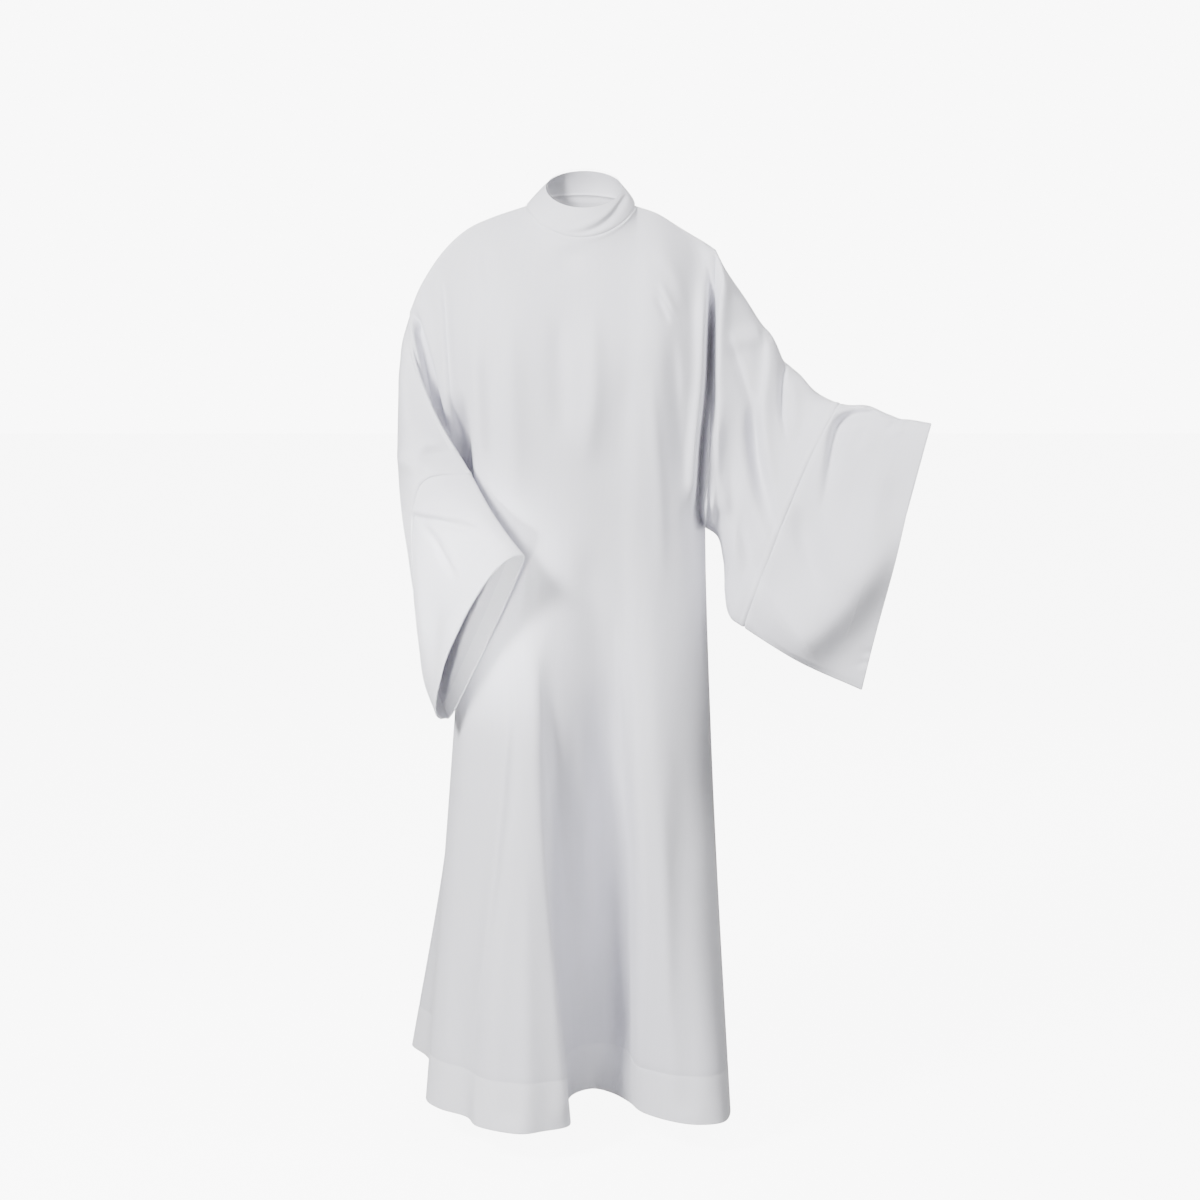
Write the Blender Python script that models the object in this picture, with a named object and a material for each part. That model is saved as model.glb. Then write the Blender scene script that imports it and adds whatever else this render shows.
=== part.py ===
"""Alb: a plain white ankle-length robe, in the hollow form it has when worn.

Units are metres. +Z is up, the front faces -Y and the wearer's left is +X. The origin
is the middle of the neck at the height of the shoulder line, where the wearer's
shoulders carry the robe.

The cut: a front and a back, each reaching from the neck to the hem and out along the
arms to a seam by the elbow, a bell-shaped extension on each sleeve, and a standing
collar band. Every piece is one sheet of cloth with a wall of its own thickness. The
sheets meet along the shoulders, sides, sleeves and neck with SEAM_GAP between them.
"""

from typing import NamedTuple

import bpy
import numpy as np

# Cloth and construction
WALL = 0.0016            # one layer of cloth
TURN_UP_WALL = 0.0028    # the cloth and its turned-up hem
SEAM_GAP = 0.0003        # between two pieces along a seam
HEM_TURN_UP = 0.078      # height of the bottom hem
CUFF_TURN_UP = 0.038     # depth of the cuff's hem
COLLAR_ROWS = 4

# Levels
ARMPIT_Z = -0.530        # bottom of the sleeves, where the side seams start
THIGH_Z = -0.860
HEM_Z = -1.480

# How finely the sheets are divided
RING_ROWS = 12           # along the armhole, from shoulder to armpit
SKIRT_ROWS = 11          # from armpit to the top of the hem
STEPS_PER_LINE = 2       # between two lines of the body
SLEEVE_STEPS = 9         # from the armhole to the sleeve seam
CUFF_STEPS = 5           # from the sleeve seam to the cuff's hem

NECK_FROM, NECK_TO = 1 / 3, 2 / 3   # the part of the width that is the neckline


class Line(NamedTuple):
    """One line down the body, at armpit, thigh and hem: its place across and its depth."""

    name: str
    armpit_x: float
    armpit_y: float
    thigh_x: float
    thigh_y: float
    hem_x: float
    hem_y: float


class Ring(NamedTuple):
    """One section of a sleeve: over-arm point, under-arm point and the fullness between."""

    name: str
    along: float
    top_x: float
    top_y: float
    top_z: float
    low_x: float
    low_y: float
    low_z: float
    front_turn: float    # degrees in plan that the front layer stands out to
    front_out: float
    back_turn: float
    back_out: float
    lean: float          # below 1 the fullness lies high in the section
    blunt: float         # small is boxy, 1 is pointed
    end_round: float     # half the width at the over-arm and under-arm ends
    bow: float           # how far the middle runs on along the arm


class Fold(NamedTuple):
    """A soft ridge (depth above 0) or trough between two places of a sheet."""

    name: str
    from_a: float
    from_b: float
    to_a: float
    to_b: float
    width: float
    depth: float


FRONT_LINES = (
    Line("side seam, right", -0.190, 0.010, -0.214, 0.052, -0.247, 0.062),
    Line("right edge of the front", -0.186, -0.030, -0.211, -0.012, -0.262, -0.022),
    Line("beside it", -0.171, -0.068, -0.192, -0.075, -0.237, -0.077),
    Line("small step, back", -0.147, -0.098, -0.155, -0.118, -0.190, -0.121),
    Line("small step, front", -0.120, -0.116, -0.124, -0.147, -0.168, -0.171),
    Line("right lobe", -0.097, -0.125, -0.100, -0.162, -0.104, -0.208),
    Line("right lobe, inner half", -0.079, -0.130, -0.083, -0.166, -0.062, -0.194),
    Line("sharp edge", -0.062, -0.132, -0.069, -0.160, -0.021, -0.165),
    Line("turned back", -0.048, -0.133, -0.061, -0.148, -0.027, -0.096),
    Line("recess, right", -0.030, -0.134, -0.040, -0.128, -0.020, -0.010),
    Line("recess, middle", 0.000, -0.134, 0.002, -0.110, 0.014, 0.029),
    Line("recess, left", 0.030, -0.131, 0.042, -0.105, 0.048, 0.006),
    Line("flank of the left lobe", 0.058, -0.128, 0.069, -0.125, 0.076, -0.042),
    Line("left lobe begins", 0.086, -0.130, 0.088, -0.157, 0.098, -0.098),
    Line("left lobe", 0.115, -0.124, 0.117, -0.168, 0.146, -0.146),
    Line("left lobe, outer half", 0.146, -0.104, 0.155, -0.147, 0.190, -0.162),
    Line("left corner", 0.174, -0.076, 0.190, -0.104, 0.231, -0.143),
    Line("left edge of the front", 0.196, -0.038, 0.208, -0.048, 0.242, -0.068),
    Line("side seam, left", 0.199, 0.005, 0.207, 0.014, 0.226, 0.020),
)

BACK_LINES = (
    Line("side seam, right", -0.190, 0.010, -0.214, 0.052, -0.247, 0.062),
    Line("behind the seam", -0.186, 0.052, -0.213, 0.088, -0.258, 0.138),
    Line("right lobe rises", -0.172, 0.088, -0.212, 0.120, -0.278, 0.218),
    Line("right lobe", -0.150, 0.118, -0.192, 0.157, -0.308, 0.292),
    Line("right lobe falls", -0.122, 0.137, -0.152, 0.178, -0.252, 0.316),
    Line("first trough", -0.092, 0.148, -0.114, 0.176, -0.186, 0.252),
    Line("second lobe rises", -0.062, 0.154, -0.076, 0.186, -0.132, 0.292),
    Line("second lobe", -0.032, 0.157, -0.040, 0.196, -0.072, 0.318),
    Line("second trough", 0.000, 0.158, -0.002, 0.184, -0.016, 0.232),
    Line("third lobe rises", 0.032, 0.157, 0.036, 0.192, 0.040, 0.272),
    Line("third lobe", 0.062, 0.153, 0.074, 0.191, 0.098, 0.280),
    Line("third trough", 0.092, 0.145, 0.110, 0.166, 0.142, 0.190),
    Line("left lobe", 0.124, 0.131, 0.146, 0.150, 0.194, 0.200),
    Line("left lobe falls", 0.154, 0.106, 0.178, 0.115, 0.228, 0.140),
    Line("behind the left seam", 0.190, 0.052, 0.203, 0.060, 0.226, 0.070),
    Line("side seam, left", 0.199, 0.005, 0.207, 0.014, 0.226, 0.020),
)

# Across, height: the shoulders from the end of the body to the neck
RIGHT_SHOULDER = (
    (-0.281, -0.178), (-0.262, -0.134), (-0.228, -0.083),
    (-0.188, -0.046), (-0.140, -0.024), (-0.091, -0.008),
)
LEFT_SHOULDER = (
    (0.085, -0.008), (0.118, -0.019), (0.152, -0.040), (0.186, -0.060), (0.214, -0.078),
)
CHEST_SWELL, BACK_SWELL = -0.034, 0.030
NECK_FRONT_Y, NECK_FRONT_Z = -0.078, -0.062
NECK_BACK_Y, NECK_BACK_Z = 0.062, 0.012
COLLAR_MIDDLE_X, COLLAR_HALF_WIDTH = 0.002, 0.061
COLLAR_FRONT_Y, COLLAR_BACK_Y = -0.060, 0.050
COLLAR_FRONT_Z, COLLAR_SIDE_Z, COLLAR_BACK_Z = -0.015, 0.021, 0.050

RIGHT_SLEEVE = (
    Ring("armhole", 0.0, -0.281, 0.000, -0.178, -0.190, 0.010, -0.530,
         -80, 0.042, 80, 0.055, 0.5, 1.00, 0.00, 0.00),
    Ring("armpit", 0.4, -0.282, -0.012, -0.203, -0.213, 0.014, -0.545,
         -75, 0.030, 110, 0.040, 0.55, 0.80, 0.005, 0.00),
    Ring("upper arm", 0.9, -0.280, -0.030, -0.235, -0.228, 0.022, -0.590,
         -60, 0.014, 138, 0.026, 0.6, 0.70, 0.008, 0.00),
    Ring("above elbow", 1.9, -0.247, -0.078, -0.330, -0.243, 0.040, -0.675,
         -16, 0.008, 172, 0.042, 0.5, 0.70, 0.010, 0.00),
    Ring("sleeve seam", 3.0, -0.187, -0.120, -0.434, -0.256, 0.052, -0.745,
         12, 0.008, 200, 0.064, 0.35, 0.80, 0.010, 0.00),
    Ring("forearm", 4.0, -0.136, -0.178, -0.505, -0.248, -0.008, -0.792,
         22, 0.004, 206, 0.038, 0.7, 0.60, 0.010, 0.00),
    Ring("cuff", 5.0, -0.094, -0.226, -0.553, -0.222, -0.085, -0.832,
         30, 0.004, 212, 0.044, 0.9, 0.50, 0.009, 0.00),
)

LEFT_SLEEVE = (
    Ring("armhole", 0.0, 0.214, 0.000, -0.078, 0.199, 0.005, -0.530,
         -90, 0.040, 90, 0.062, 0.5, 1.00, 0.00, 0.00),
    Ring("first ridge", 0.45, 0.230, -0.004, -0.107, 0.221, 0.001, -0.544,
         -98, 0.070, 90, 0.074, 0.6, 0.80, 0.004, 0.00),
    Ring("upper arm", 1.0, 0.262, -0.010, -0.156, 0.230, -0.009, -0.580,
         -90, 0.060, 90, 0.067, 0.7, 0.70, 0.008, 0.00),
    Ring("above elbow", 2.0, 0.318, -0.022, -0.244, 0.232, -0.030, -0.632,
         -95, 0.050, 85, 0.060, 0.7, 0.70, 0.010, 0.00),
    Ring("elbow", 3.0, 0.364, -0.040, -0.298, 0.239, -0.045, -0.668,
         -102, 0.043, 78, 0.051, 0.7, 0.70, 0.010, 0.00),
    Ring("sleeve seam", 4.0, 0.411, -0.068, -0.325, 0.262, -0.062, -0.686,
         -108, 0.041, 72, 0.043, 0.7, 0.70, 0.010, 0.00),
    Ring("forearm", 5.0, 0.472, -0.118, -0.340, 0.350, -0.095, -0.738,
         -115, 0.028, 65, 0.026, 0.7, 0.70, 0.009, 0.00),
    Ring("cuff", 6.0, 0.543, -0.176, -0.353, 0.444, -0.130, -0.778,
         -122, 0.018, 58, 0.014, 0.6, 0.70, 0.008, 0.006),
)

ARMPIT_FACES = np.array([0.20, 0.00, -0.98])   # between the side and the under-arm
RIGHT_SEAM, RIGHT_CUFF = 3.0, 5.0
LEFT_SEAM, LEFT_CUFF = 4.0, 6.0

LEFT_SLEEVE_FRONT = (
    Fold("beside the first ridge", 1.25, 0.10, 2.9, 0.62, 0.022, -0.020),
    Fold("from the elbow", 2.6, 0.10, 3.1, 0.50, 0.018, -0.014),
    Fold("across the forearm", 5.3, 0.02, 4.5, 0.32, 0.018, -0.014),
)


def through(knots, values, at):
    """Smooth curve through rows of values, one row per knot, read at the places at."""
    knots, values, at = (np.asarray(v, float) for v in (knots, values, at))
    slope = np.gradient(values, knots, axis=0)
    k = np.clip(np.searchsorted(knots, at, side="right") - 1, 0, len(knots) - 2)
    span = (knots[k + 1] - knots[k])
    t = ((at - knots[k]) / span)[..., None]
    span = span[..., None]
    values = values.reshape(len(knots), -1)
    slope = slope.reshape(len(knots), -1)
    return (
        (2 * t**3 - 3 * t**2 + 1) * values[k]
        + (t**3 - 2 * t**2 + t) * span * slope[k]
        + (3 * t**2 - 2 * t**3) * values[k + 1]
        + (t**3 - t**2) * span * slope[k + 1]
    )


def fold_depth(a, b, folds, size_a, size_b):
    """How far the soft folds push a sheet out at a, b; nothing at the edges b = 0 and 1."""
    shift = np.zeros(a.shape)
    for fold in folds:
        start = np.array([fold.from_a * size_a, fold.from_b * size_b])
        run = np.array([fold.to_a * size_a, fold.to_b * size_b]) - start
        place = np.stack([a * size_a, b * size_b], -1) - start
        t = np.clip(place @ run / (run @ run), 0, 1)
        apart = np.linalg.norm(place - t[..., None] * run, axis=-1)
        fade = np.sin(np.pi * (0.08 + 0.84 * t)) ** 0.8
        shift += fold.depth * fade * np.exp(-((apart / fold.width) ** 2))
    return shift * (1 - np.exp(-((b * (1 - b) / 0.05) ** 2)))


def sleeve(rings, s, w, front, folds=()):
    """Points of a sleeve's front or back layer, s along the arm and w from over to under."""
    table = np.array([ring[1:] for ring in rings])
    row = through(table[:, 0], table[:, 1:], s)
    top, low = row[..., 0:3], row[..., 3:6]
    turn, out = (row[..., 6], row[..., 7]) if front else (row[..., 8], row[..., 9])
    lean, blunt, end, bow = (row[..., k] for k in range(10, 14))
    side = np.stack([np.cos(np.radians(turn)), np.sin(np.radians(turn)), 0 * turn], -1)
    bulge = np.sin(np.pi * np.clip(w, 0, 1) ** lean)
    bulge = np.clip(bulge, 0, None) ** blunt * out
    bulge = bulge + end * np.sqrt(1 - np.exp(-w * (1 - w) / 0.02))
    bulge = bulge + fold_depth(s, w, folds, 0.075, 0.42)
    ahead = through(table[:, 0], table[:, 1:4], np.minimum(s + 0.05, table[-1, 0]))
    behind = through(table[:, 0], table[:, 1:4], np.maximum(s - 0.05, table[0, 0]))
    along = ahead - behind
    along /= np.linalg.norm(along, axis=-1, keepdims=True)
    points = top + (low - top) * w[..., None] + side * bulge[..., None]
    return points + along * (bow * np.sin(np.pi * w) * 2)[..., None]


def shoulder_line(u, front):
    """Row of points along right shoulder, neckline and left shoulder."""
    points = np.zeros(u.shape + (3,))
    for low, high, table in (
        (0.0, NECK_FROM, RIGHT_SHOULDER),
        (NECK_TO, 1.0, LEFT_SHOULDER),
    ):
        part = (u >= low - 1e-9) & (u <= high + 1e-9)
        t = (u[part] - low) / (high - low)
        points[part, 0::2] = through(np.linspace(0, 1, len(table)), table, t)
    neck = (u > NECK_FROM + 1e-9) & (u < NECK_TO - 1e-9)
    angle = np.pi * (u[neck] - NECK_FROM) / (NECK_TO - NECK_FROM)
    right, left = RIGHT_SHOULDER[-1], LEFT_SHOULDER[0]
    middle, half = (right[0] + left[0]) / 2, (left[0] - right[0]) / 2
    deep_y, deep_z = (
        (NECK_FRONT_Y, NECK_FRONT_Z) if front else (NECK_BACK_Y, NECK_BACK_Z)
    )
    points[neck, 0] = middle - half * np.cos(angle)
    points[neck, 1] = deep_y * np.sin(angle)
    points[neck, 2] = right[1] + (deep_z - right[1]) * np.sin(angle) ** 1.4
    return points


def upper_body(u, v, front):
    """Front or back from the shoulders (v = 0) to the armpits (v = 1)."""
    lines = FRONT_LINES if front else BACK_LINES
    knots = np.linspace(0, 1, len(lines))
    over = shoulder_line(u, front)
    few = np.array([0.0, 0.2, 0.5, 0.8, 1.0])
    calm = shoulder_line(few, front)
    calm[1:-1, 1] = np.array([0.55, 0.8, 0.55]) * calm[2, 1]
    calm = through(few, calm, u)
    over = calm + (over - calm) * ((1 - v) ** 7)[..., None]
    under = np.concatenate(
        [through(knots, [row[1:3] for row in lines], u), np.full(u.shape + (1,), ARMPIT_Z)],
        axis=-1,
    )
    right = sleeve(RIGHT_SLEEVE, np.zeros(v.shape), v, front)
    left = sleeve(LEFT_SLEEVE, np.zeros(v.shape), v, front)
    fast, even = (1 - (1 - v) ** 3), v
    share = np.stack([even, fast, even], -1)
    keep = np.stack([1 - 0 * u, 1 - 0.5 * np.sin(np.pi * u), 1 - 0 * u], -1)
    down = over * (1 - share) + under * share
    corner_right = over[0, 0] * (1 - share[:, :1]) + under[0, 0] * share[:, :1]
    corner_left = over[0, -1] * (1 - share[:, :1]) + under[0, -1] * share[:, :1]
    across = u[..., None]
    edge = np.exp(-((np.minimum(u, 1 - u) / 0.05) ** 2))[..., None]
    swell = CHEST_SWELL if front else BACK_SWELL
    calm = np.stack([0 * v, swell * np.sin(np.pi * v**0.8) ** 2, 0 * v], -1)
    off = (right - corner_right) * (1 - across) + (left - corner_left) * across
    level = (right - corner_right) * (1 - across) + (left - corner_left) * across
    level[..., 1] = 0
    return down + off * edge + (level + calm * keep) * (1 - edge)


def skirt(u, z, front):
    """Front or back from the armpits to the hem, at height z."""
    lines = FRONT_LINES if front else BACK_LINES
    knots = np.linspace(0, 1, len(lines))
    level = np.array([[row[5:7], row[3:5], row[1:3]] for row in lines])
    at = np.stack([through(knots, level[:, k], u) for k in range(3)], axis=0)
    place = np.array([HEM_Z, THIGH_Z, ARMPIT_Z])
    slope = np.gradient(at, place, axis=0)
    slope[-1] *= np.array([0.5, 0.0])
    flat = np.zeros(z.shape + (2,))
    for k in (0, 1):
        span = place[k + 1] - place[k]
        t = ((z - place[k]) / span)[..., None]
        part = (
            (2 * t**3 - 3 * t**2 + 1) * at[k]
            + (t**3 - 2 * t**2 + t) * span * slope[k]
            + (3 * t**2 - 2 * t**3) * at[k + 1]
            + (t**3 - t**2) * span * slope[k + 1]
        )
        flat = np.where((z > THIGH_Z)[..., None] == bool(k), part, flat)
    return np.concatenate([flat, z[..., None]], axis=-1)


def ring_rows():
    """Places from over-arm to under-arm, closer together at both ends."""
    even = np.linspace(0, 1, RING_ROWS + 1)
    return 0.75 * (1 - np.cos(np.pi * even)) / 2 + 0.25 * even


def body(front):
    """Grid of the body's front or back, and each point's turn-up share."""
    columns = STEPS_PER_LINE * (len(FRONT_LINES) - 1)
    across = np.linspace(0, 1, columns + 1)
    u, v = np.meshgrid(across, ring_rows())
    top = upper_body(u, v, front)
    hem_top = HEM_Z + HEM_TURN_UP
    heights = list(np.linspace(ARMPIT_Z, hem_top, SKIRT_ROWS + 1)[1:])
    heights += [hem_top - 0.003, (hem_top + HEM_Z) / 2, HEM_Z]
    u, z = np.meshgrid(across, heights)
    points = np.concatenate([top, skirt(u, z, front)], axis=0)
    doubled = np.zeros(points.shape[:2])
    doubled[-3:] = 1
    return points, doubled


def sleeve_layer(rings, stations, front, folds=()):
    """Grid of one layer of a sleeve: a row per place round it, a column per station."""
    s, w = np.meshgrid(stations, ring_rows())
    return sleeve(rings, s, w, front, folds)


class Sheet:
    """A grid of points of one piece, with the side that faces out."""

    def __init__(self, points, doubled=None, turned=False):
        self.points = points
        self.doubled = np.zeros(points.shape[:2]) if doubled is None else doubled
        self.turned = turned

    def triangles(self):
        """Corner numbers of the grid's triangles, facing out."""
        rows, columns = self.points.shape[:2]
        number = np.arange(rows * columns).reshape(rows, columns)
        a, b = number[:-1, :-1].ravel(), number[:-1, 1:].ravel()
        c, d = number[1:, 1:].ravel(), number[1:, :-1].ravel()
        faces = np.concatenate([np.stack([a, d, c], 1), np.stack([a, c, b], 1)])
        return faces[:, ::-1] if self.turned else faces


class Piece:
    """One cut piece: sheets that join wherever their points meet."""

    def __init__(self, name, sheets):
        self.name = name
        points, doubled, faces = [], [], []
        seen = {}
        for which, sheet in enumerate(sheets):
            numbers = []
            flat = sheet.points.reshape(-1, 3)
            for place, extra in zip(flat, sheet.doubled.ravel()):
                key = tuple(np.round(place * 1e5).astype(int))
                known = seen.get(key)
                if known is None or known[0] == which:
                    seen.setdefault(key, (which, len(points)))
                    numbers.append(len(points))
                    points.append(place)
                    doubled.append(extra)
                else:
                    numbers.append(known[1])
            faces.append(np.array(numbers)[sheet.triangles()])
        self.points = np.array(points)
        self.doubled = np.array(doubled)
        self.faces = np.concatenate(faces)
        self.sheet_of = np.repeat(np.arange(len(faces)), [len(part) for part in faces])
        self.keys = [tuple(k) for k in np.round(self.points * 1e5).astype(int)]

    def facing(self):
        """Each point's direction out: the mean over the sheets that meet there."""
        total = np.zeros(self.points.shape)
        for sheet in range(self.sheet_of.max() + 1):
            faces = self.faces[self.sheet_of == sheet]
            out = np.zeros(self.points.shape)
            for k in range(3):
                here = self.points[faces[:, k]]
                one = self.points[faces[:, (k + 1) % 3]] - here
                two = self.points[faces[:, (k + 2) % 3]] - here
                way = np.cross(one, two)
                size = np.linalg.norm(way, axis=1)
                angle = np.arctan2(size, (one * two).sum(axis=1))
                np.add.at(out, faces[:, k], way * (angle / size)[:, None])
            size = np.linalg.norm(out, axis=1, keepdims=True)
            total += out / np.maximum(size, 1e-9)
        return total

    def rim(self):
        """The edges that one triangle uses, in its direction."""
        edges = self.faces[:, [0, 1, 1, 2, 2, 0]].reshape(-1, 2)
        there = {tuple(edge) for edge in edges.tolist()}
        return [edge for edge in sorted(there) if edge[::-1] not in there]

    def drawn_in(self, seam, normals):
        """Points with those on a seam moved half a gap into the piece."""
        third = {}
        for face in self.faces.tolist():
            for k in range(3):
                third[face[k], face[(k + 1) % 3]] = face[(k + 2) % 3]
        ways = {}
        for a, b in self.rim():
            if not (seam[a] and seam[b]):
                continue
            along = self.points[b] - self.points[a]
            into = self.points[third[a, b]] - self.points[a]
            into = into - along * (into @ along) / (along @ along)
            for number in (a, b):
                way = into - normals[number] * (into @ normals[number])
                ways.setdefault(number, []).append(way / np.linalg.norm(way))
        moved = self.points.copy()
        for number, pair in ways.items():
            both = sum(pair) / len(pair)
            moved[number] += both * SEAM_GAP / 2 / max(both @ both, 0.3)
        return moved

    def build(self, normals, seam, material):
        """Give the sheet its wall and make it an object."""
        middle = self.drawn_in(seam, normals)
        outer = middle + normals * WALL / 2
        inner = middle - normals * (
            WALL / 2 + (TURN_UP_WALL - WALL) * self.doubled[:, None]
        )
        count = len(middle)
        faces = self.faces.tolist() + (self.faces[:, ::-1] + count).tolist()
        for a, b in self.rim():
            if self.keys[a] < self.keys[b]:
                faces += [(b, a, a + count), (b, a + count, b + count)]
            else:
                faces += [(b, a, b + count), (a, a + count, b + count)]
        mesh = bpy.data.meshes.new(self.name)
        mesh.from_pydata(np.concatenate([outer, inner]).tolist(), [], faces)
        mesh.validate()
        mesh.shade_smooth()
        mesh.set_sharp_from_angle(angle=0.9)
        mesh.materials.append(material)
        part = bpy.data.objects.new(self.name, mesh)
        bpy.context.scene.collection.objects.link(part)
        return part


def collar(front, back):
    """Grid of the collar band, from the left shoulder round the front to the back."""
    low = np.concatenate([front[::-1], back[1:]])
    turn = np.linspace(0, 2 * np.pi, len(low))
    ahead = np.sin(turn)
    depth = np.where(ahead > 0, -COLLAR_FRONT_Y, COLLAR_BACK_Y)
    drop = np.where(
        ahead > 0, COLLAR_FRONT_Z - COLLAR_SIDE_Z, COLLAR_SIDE_Z - COLLAR_BACK_Z
    )
    high = np.stack(
        [
            COLLAR_MIDDLE_X + COLLAR_HALF_WIDTH * np.cos(turn),
            -depth * ahead,
            COLLAR_SIDE_Z + drop * ahead,
        ],
        axis=-1,
    )
    t = np.linspace(0, 1, COLLAR_ROWS + 1)[:, None, None]
    out = np.stack([np.cos(turn), -ahead, 0 * turn], axis=-1)
    return high * (1 - t) + low * t + out * 0.003 * np.sin(np.pi * t)


def cloth(name, colour, roughness):
    """A cloth material."""
    material = bpy.data.materials.new(name)
    material.use_nodes = True
    shader = material.node_tree.nodes["Principled BSDF"]
    shader.inputs["Base Color"].default_value = (*colour, 1.0)
    shader.inputs["Roughness"].default_value = roughness
    shader.inputs["Metallic"].default_value = 0.0
    material.diffuse_color = (*colour, 1.0)
    return material


def extension(name, rings, seam, cuff, folds=()):
    """The bell-shaped end of a sleeve: one sheet, round from under-arm to under-arm."""
    steps = np.linspace(seam, cuff, CUFF_STEPS + 1)
    hem = cuff - CUFF_TURN_UP / 0.085
    stations = np.concatenate([steps[steps < hem - 0.05], [hem - 0.035, hem, cuff]])
    front = sleeve_layer(rings, stations, True, folds)
    back = sleeve_layer(rings, stations, False)
    points = np.concatenate([front[::-1], back[1:]], axis=0)
    doubled = np.zeros(points.shape[:2])
    doubled[:, -2:] = 1
    return Piece(name, [Sheet(points, doubled, turned=stations[-1] == LEFT_CUFF)])


def main():
    """Build every piece of the robe."""
    for old in list(bpy.data.objects):
        bpy.data.objects.remove(old)

    left = np.linspace(0, LEFT_SEAM, SLEEVE_STEPS + 1)
    right = np.linspace(0, RIGHT_SEAM, SLEEVE_STEPS + 1)
    panels, necks = [], []
    for name, front in (("front_panel", True), ("back_panel", False)):
        points, doubled = body(front)
        folds = LEFT_SLEEVE_FRONT if front else ()
        left_layer = sleeve_layer(LEFT_SLEEVE, left, front, folds)
        right_layer = sleeve_layer(RIGHT_SLEEVE, right, front)
        left_layer[:, 0] = points[: RING_ROWS + 1, -1]
        right_layer[:, 0] = points[: RING_ROWS + 1, 0]
        sheets = [
            Sheet(points, doubled, turned=not front),
            Sheet(left_layer, turned=not front),
            Sheet(right_layer, turned=front),
        ]
        panels.append(Piece(name, sheets))
        columns = points.shape[1] - 1
        first, last = round(columns * NECK_FROM), round(columns * NECK_TO)
        necks.append(points[0, first : last + 1])

    pieces = panels + [
        extension("sleeve_extension_right", RIGHT_SLEEVE, RIGHT_SEAM, RIGHT_CUFF),
        extension("sleeve_extension_left", LEFT_SLEEVE, LEFT_SEAM, LEFT_CUFF, LEFT_SLEEVE_FRONT),
        Piece("collar_band", [Sheet(collar(*necks), turned=True)]),
    ]

    facing, uses = {}, {}
    for piece in pieces:
        for number, ways in enumerate(piece.facing()):
            key = piece.keys[number]
            facing[key] = facing.get(key, 0) + ways
        for key in piece.keys:
            uses[key] = uses.get(key, 0) + 1

    facing = {key: way / np.linalg.norm(way) for key, way in facing.items()}
    for side in (LEFT_SLEEVE, RIGHT_SLEEVE):
        armpit = tuple(np.round(np.array(side[0][5:8]) * 1e5).astype(int))
        facing[armpit] = ARMPIT_FACES * np.sign([side[0].low_x, 1, 1])

    for piece in pieces:
        normals = np.array([facing[key] for key in piece.keys])
        seam = np.array([float(uses[key] > 1) for key in piece.keys])
        piece.build(normals, seam, cloth(f"{piece.name}_cloth", (0.83, 0.84, 0.86), 0.85))


main()
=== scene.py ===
"""Alb: a plain white ankle-length robe, hollow, in the form it has when worn.

Units are metres in the row frame: +Z up, the front faces -Y, the wearer's left is +X and
the origin is the middle of the neck at the height of the shoulder line. Only the creases
are given in millimetres.

Every cloth piece is a fine grid on the robe's middle surface. The listed creases move
the grid in or out, and each grid then gets a thin wall, turned-up hems and stitches.
"""

import logging
from dataclasses import dataclass
from enum import Enum

import bpy
import numpy as np
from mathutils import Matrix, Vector


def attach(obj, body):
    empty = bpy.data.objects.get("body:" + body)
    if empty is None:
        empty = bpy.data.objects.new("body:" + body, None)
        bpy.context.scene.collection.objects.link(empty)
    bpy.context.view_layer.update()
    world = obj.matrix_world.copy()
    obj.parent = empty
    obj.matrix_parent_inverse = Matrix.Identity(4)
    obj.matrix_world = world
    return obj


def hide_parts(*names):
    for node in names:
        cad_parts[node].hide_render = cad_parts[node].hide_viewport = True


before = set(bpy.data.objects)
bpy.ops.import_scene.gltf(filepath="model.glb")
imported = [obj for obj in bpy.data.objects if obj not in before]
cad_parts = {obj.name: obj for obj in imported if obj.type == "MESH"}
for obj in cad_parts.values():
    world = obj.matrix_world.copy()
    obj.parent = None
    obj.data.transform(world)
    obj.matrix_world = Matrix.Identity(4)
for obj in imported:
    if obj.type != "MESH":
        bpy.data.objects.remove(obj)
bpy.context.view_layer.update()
LOG = logging.getLogger("alb")

Array = np.ndarray
Triple = tuple[float, float, float]


class Layer(Enum):
    """The two layers of the robe, in front of the wearer and behind."""

    FRONT = "front"
    BACK = "back"


class Side(Enum):
    """The wearer's two sides."""

    RIGHT = "right"
    LEFT = "left"


# ---------------------------------------------------------------- the worn form's tables


@dataclass(frozen=True)
class BodyLine:
    """One line down the body: its place across and its depth at three levels."""

    name: str
    armpit_x: float
    armpit_y: float
    thigh_x: float
    thigh_y: float
    hem_x: float
    hem_y: float

    def levels(self) -> list[list[float]]:
        """Across and depth at hem, thigh and armpit."""
        return [
            [self.hem_x, self.hem_y],
            [self.thigh_x, self.thigh_y],
            [self.armpit_x, self.armpit_y],
        ]


@dataclass(frozen=True)
class SleeveRing:
    """One section of a sleeve: over-arm and under-arm points and the fullness between."""

    name: str
    along: float
    top_x: float
    top_y: float
    top_z: float
    low_x: float
    low_y: float
    low_z: float
    front_turn: float
    front_out: float
    back_turn: float
    back_out: float
    lean: float
    blunt: float
    end_round: float
    bow: float

    def numbers(self) -> list[float]:
        """Every size of the section, the place along the arm first."""
        return [value for name, value in vars(self).items() if name != "name"]


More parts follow.
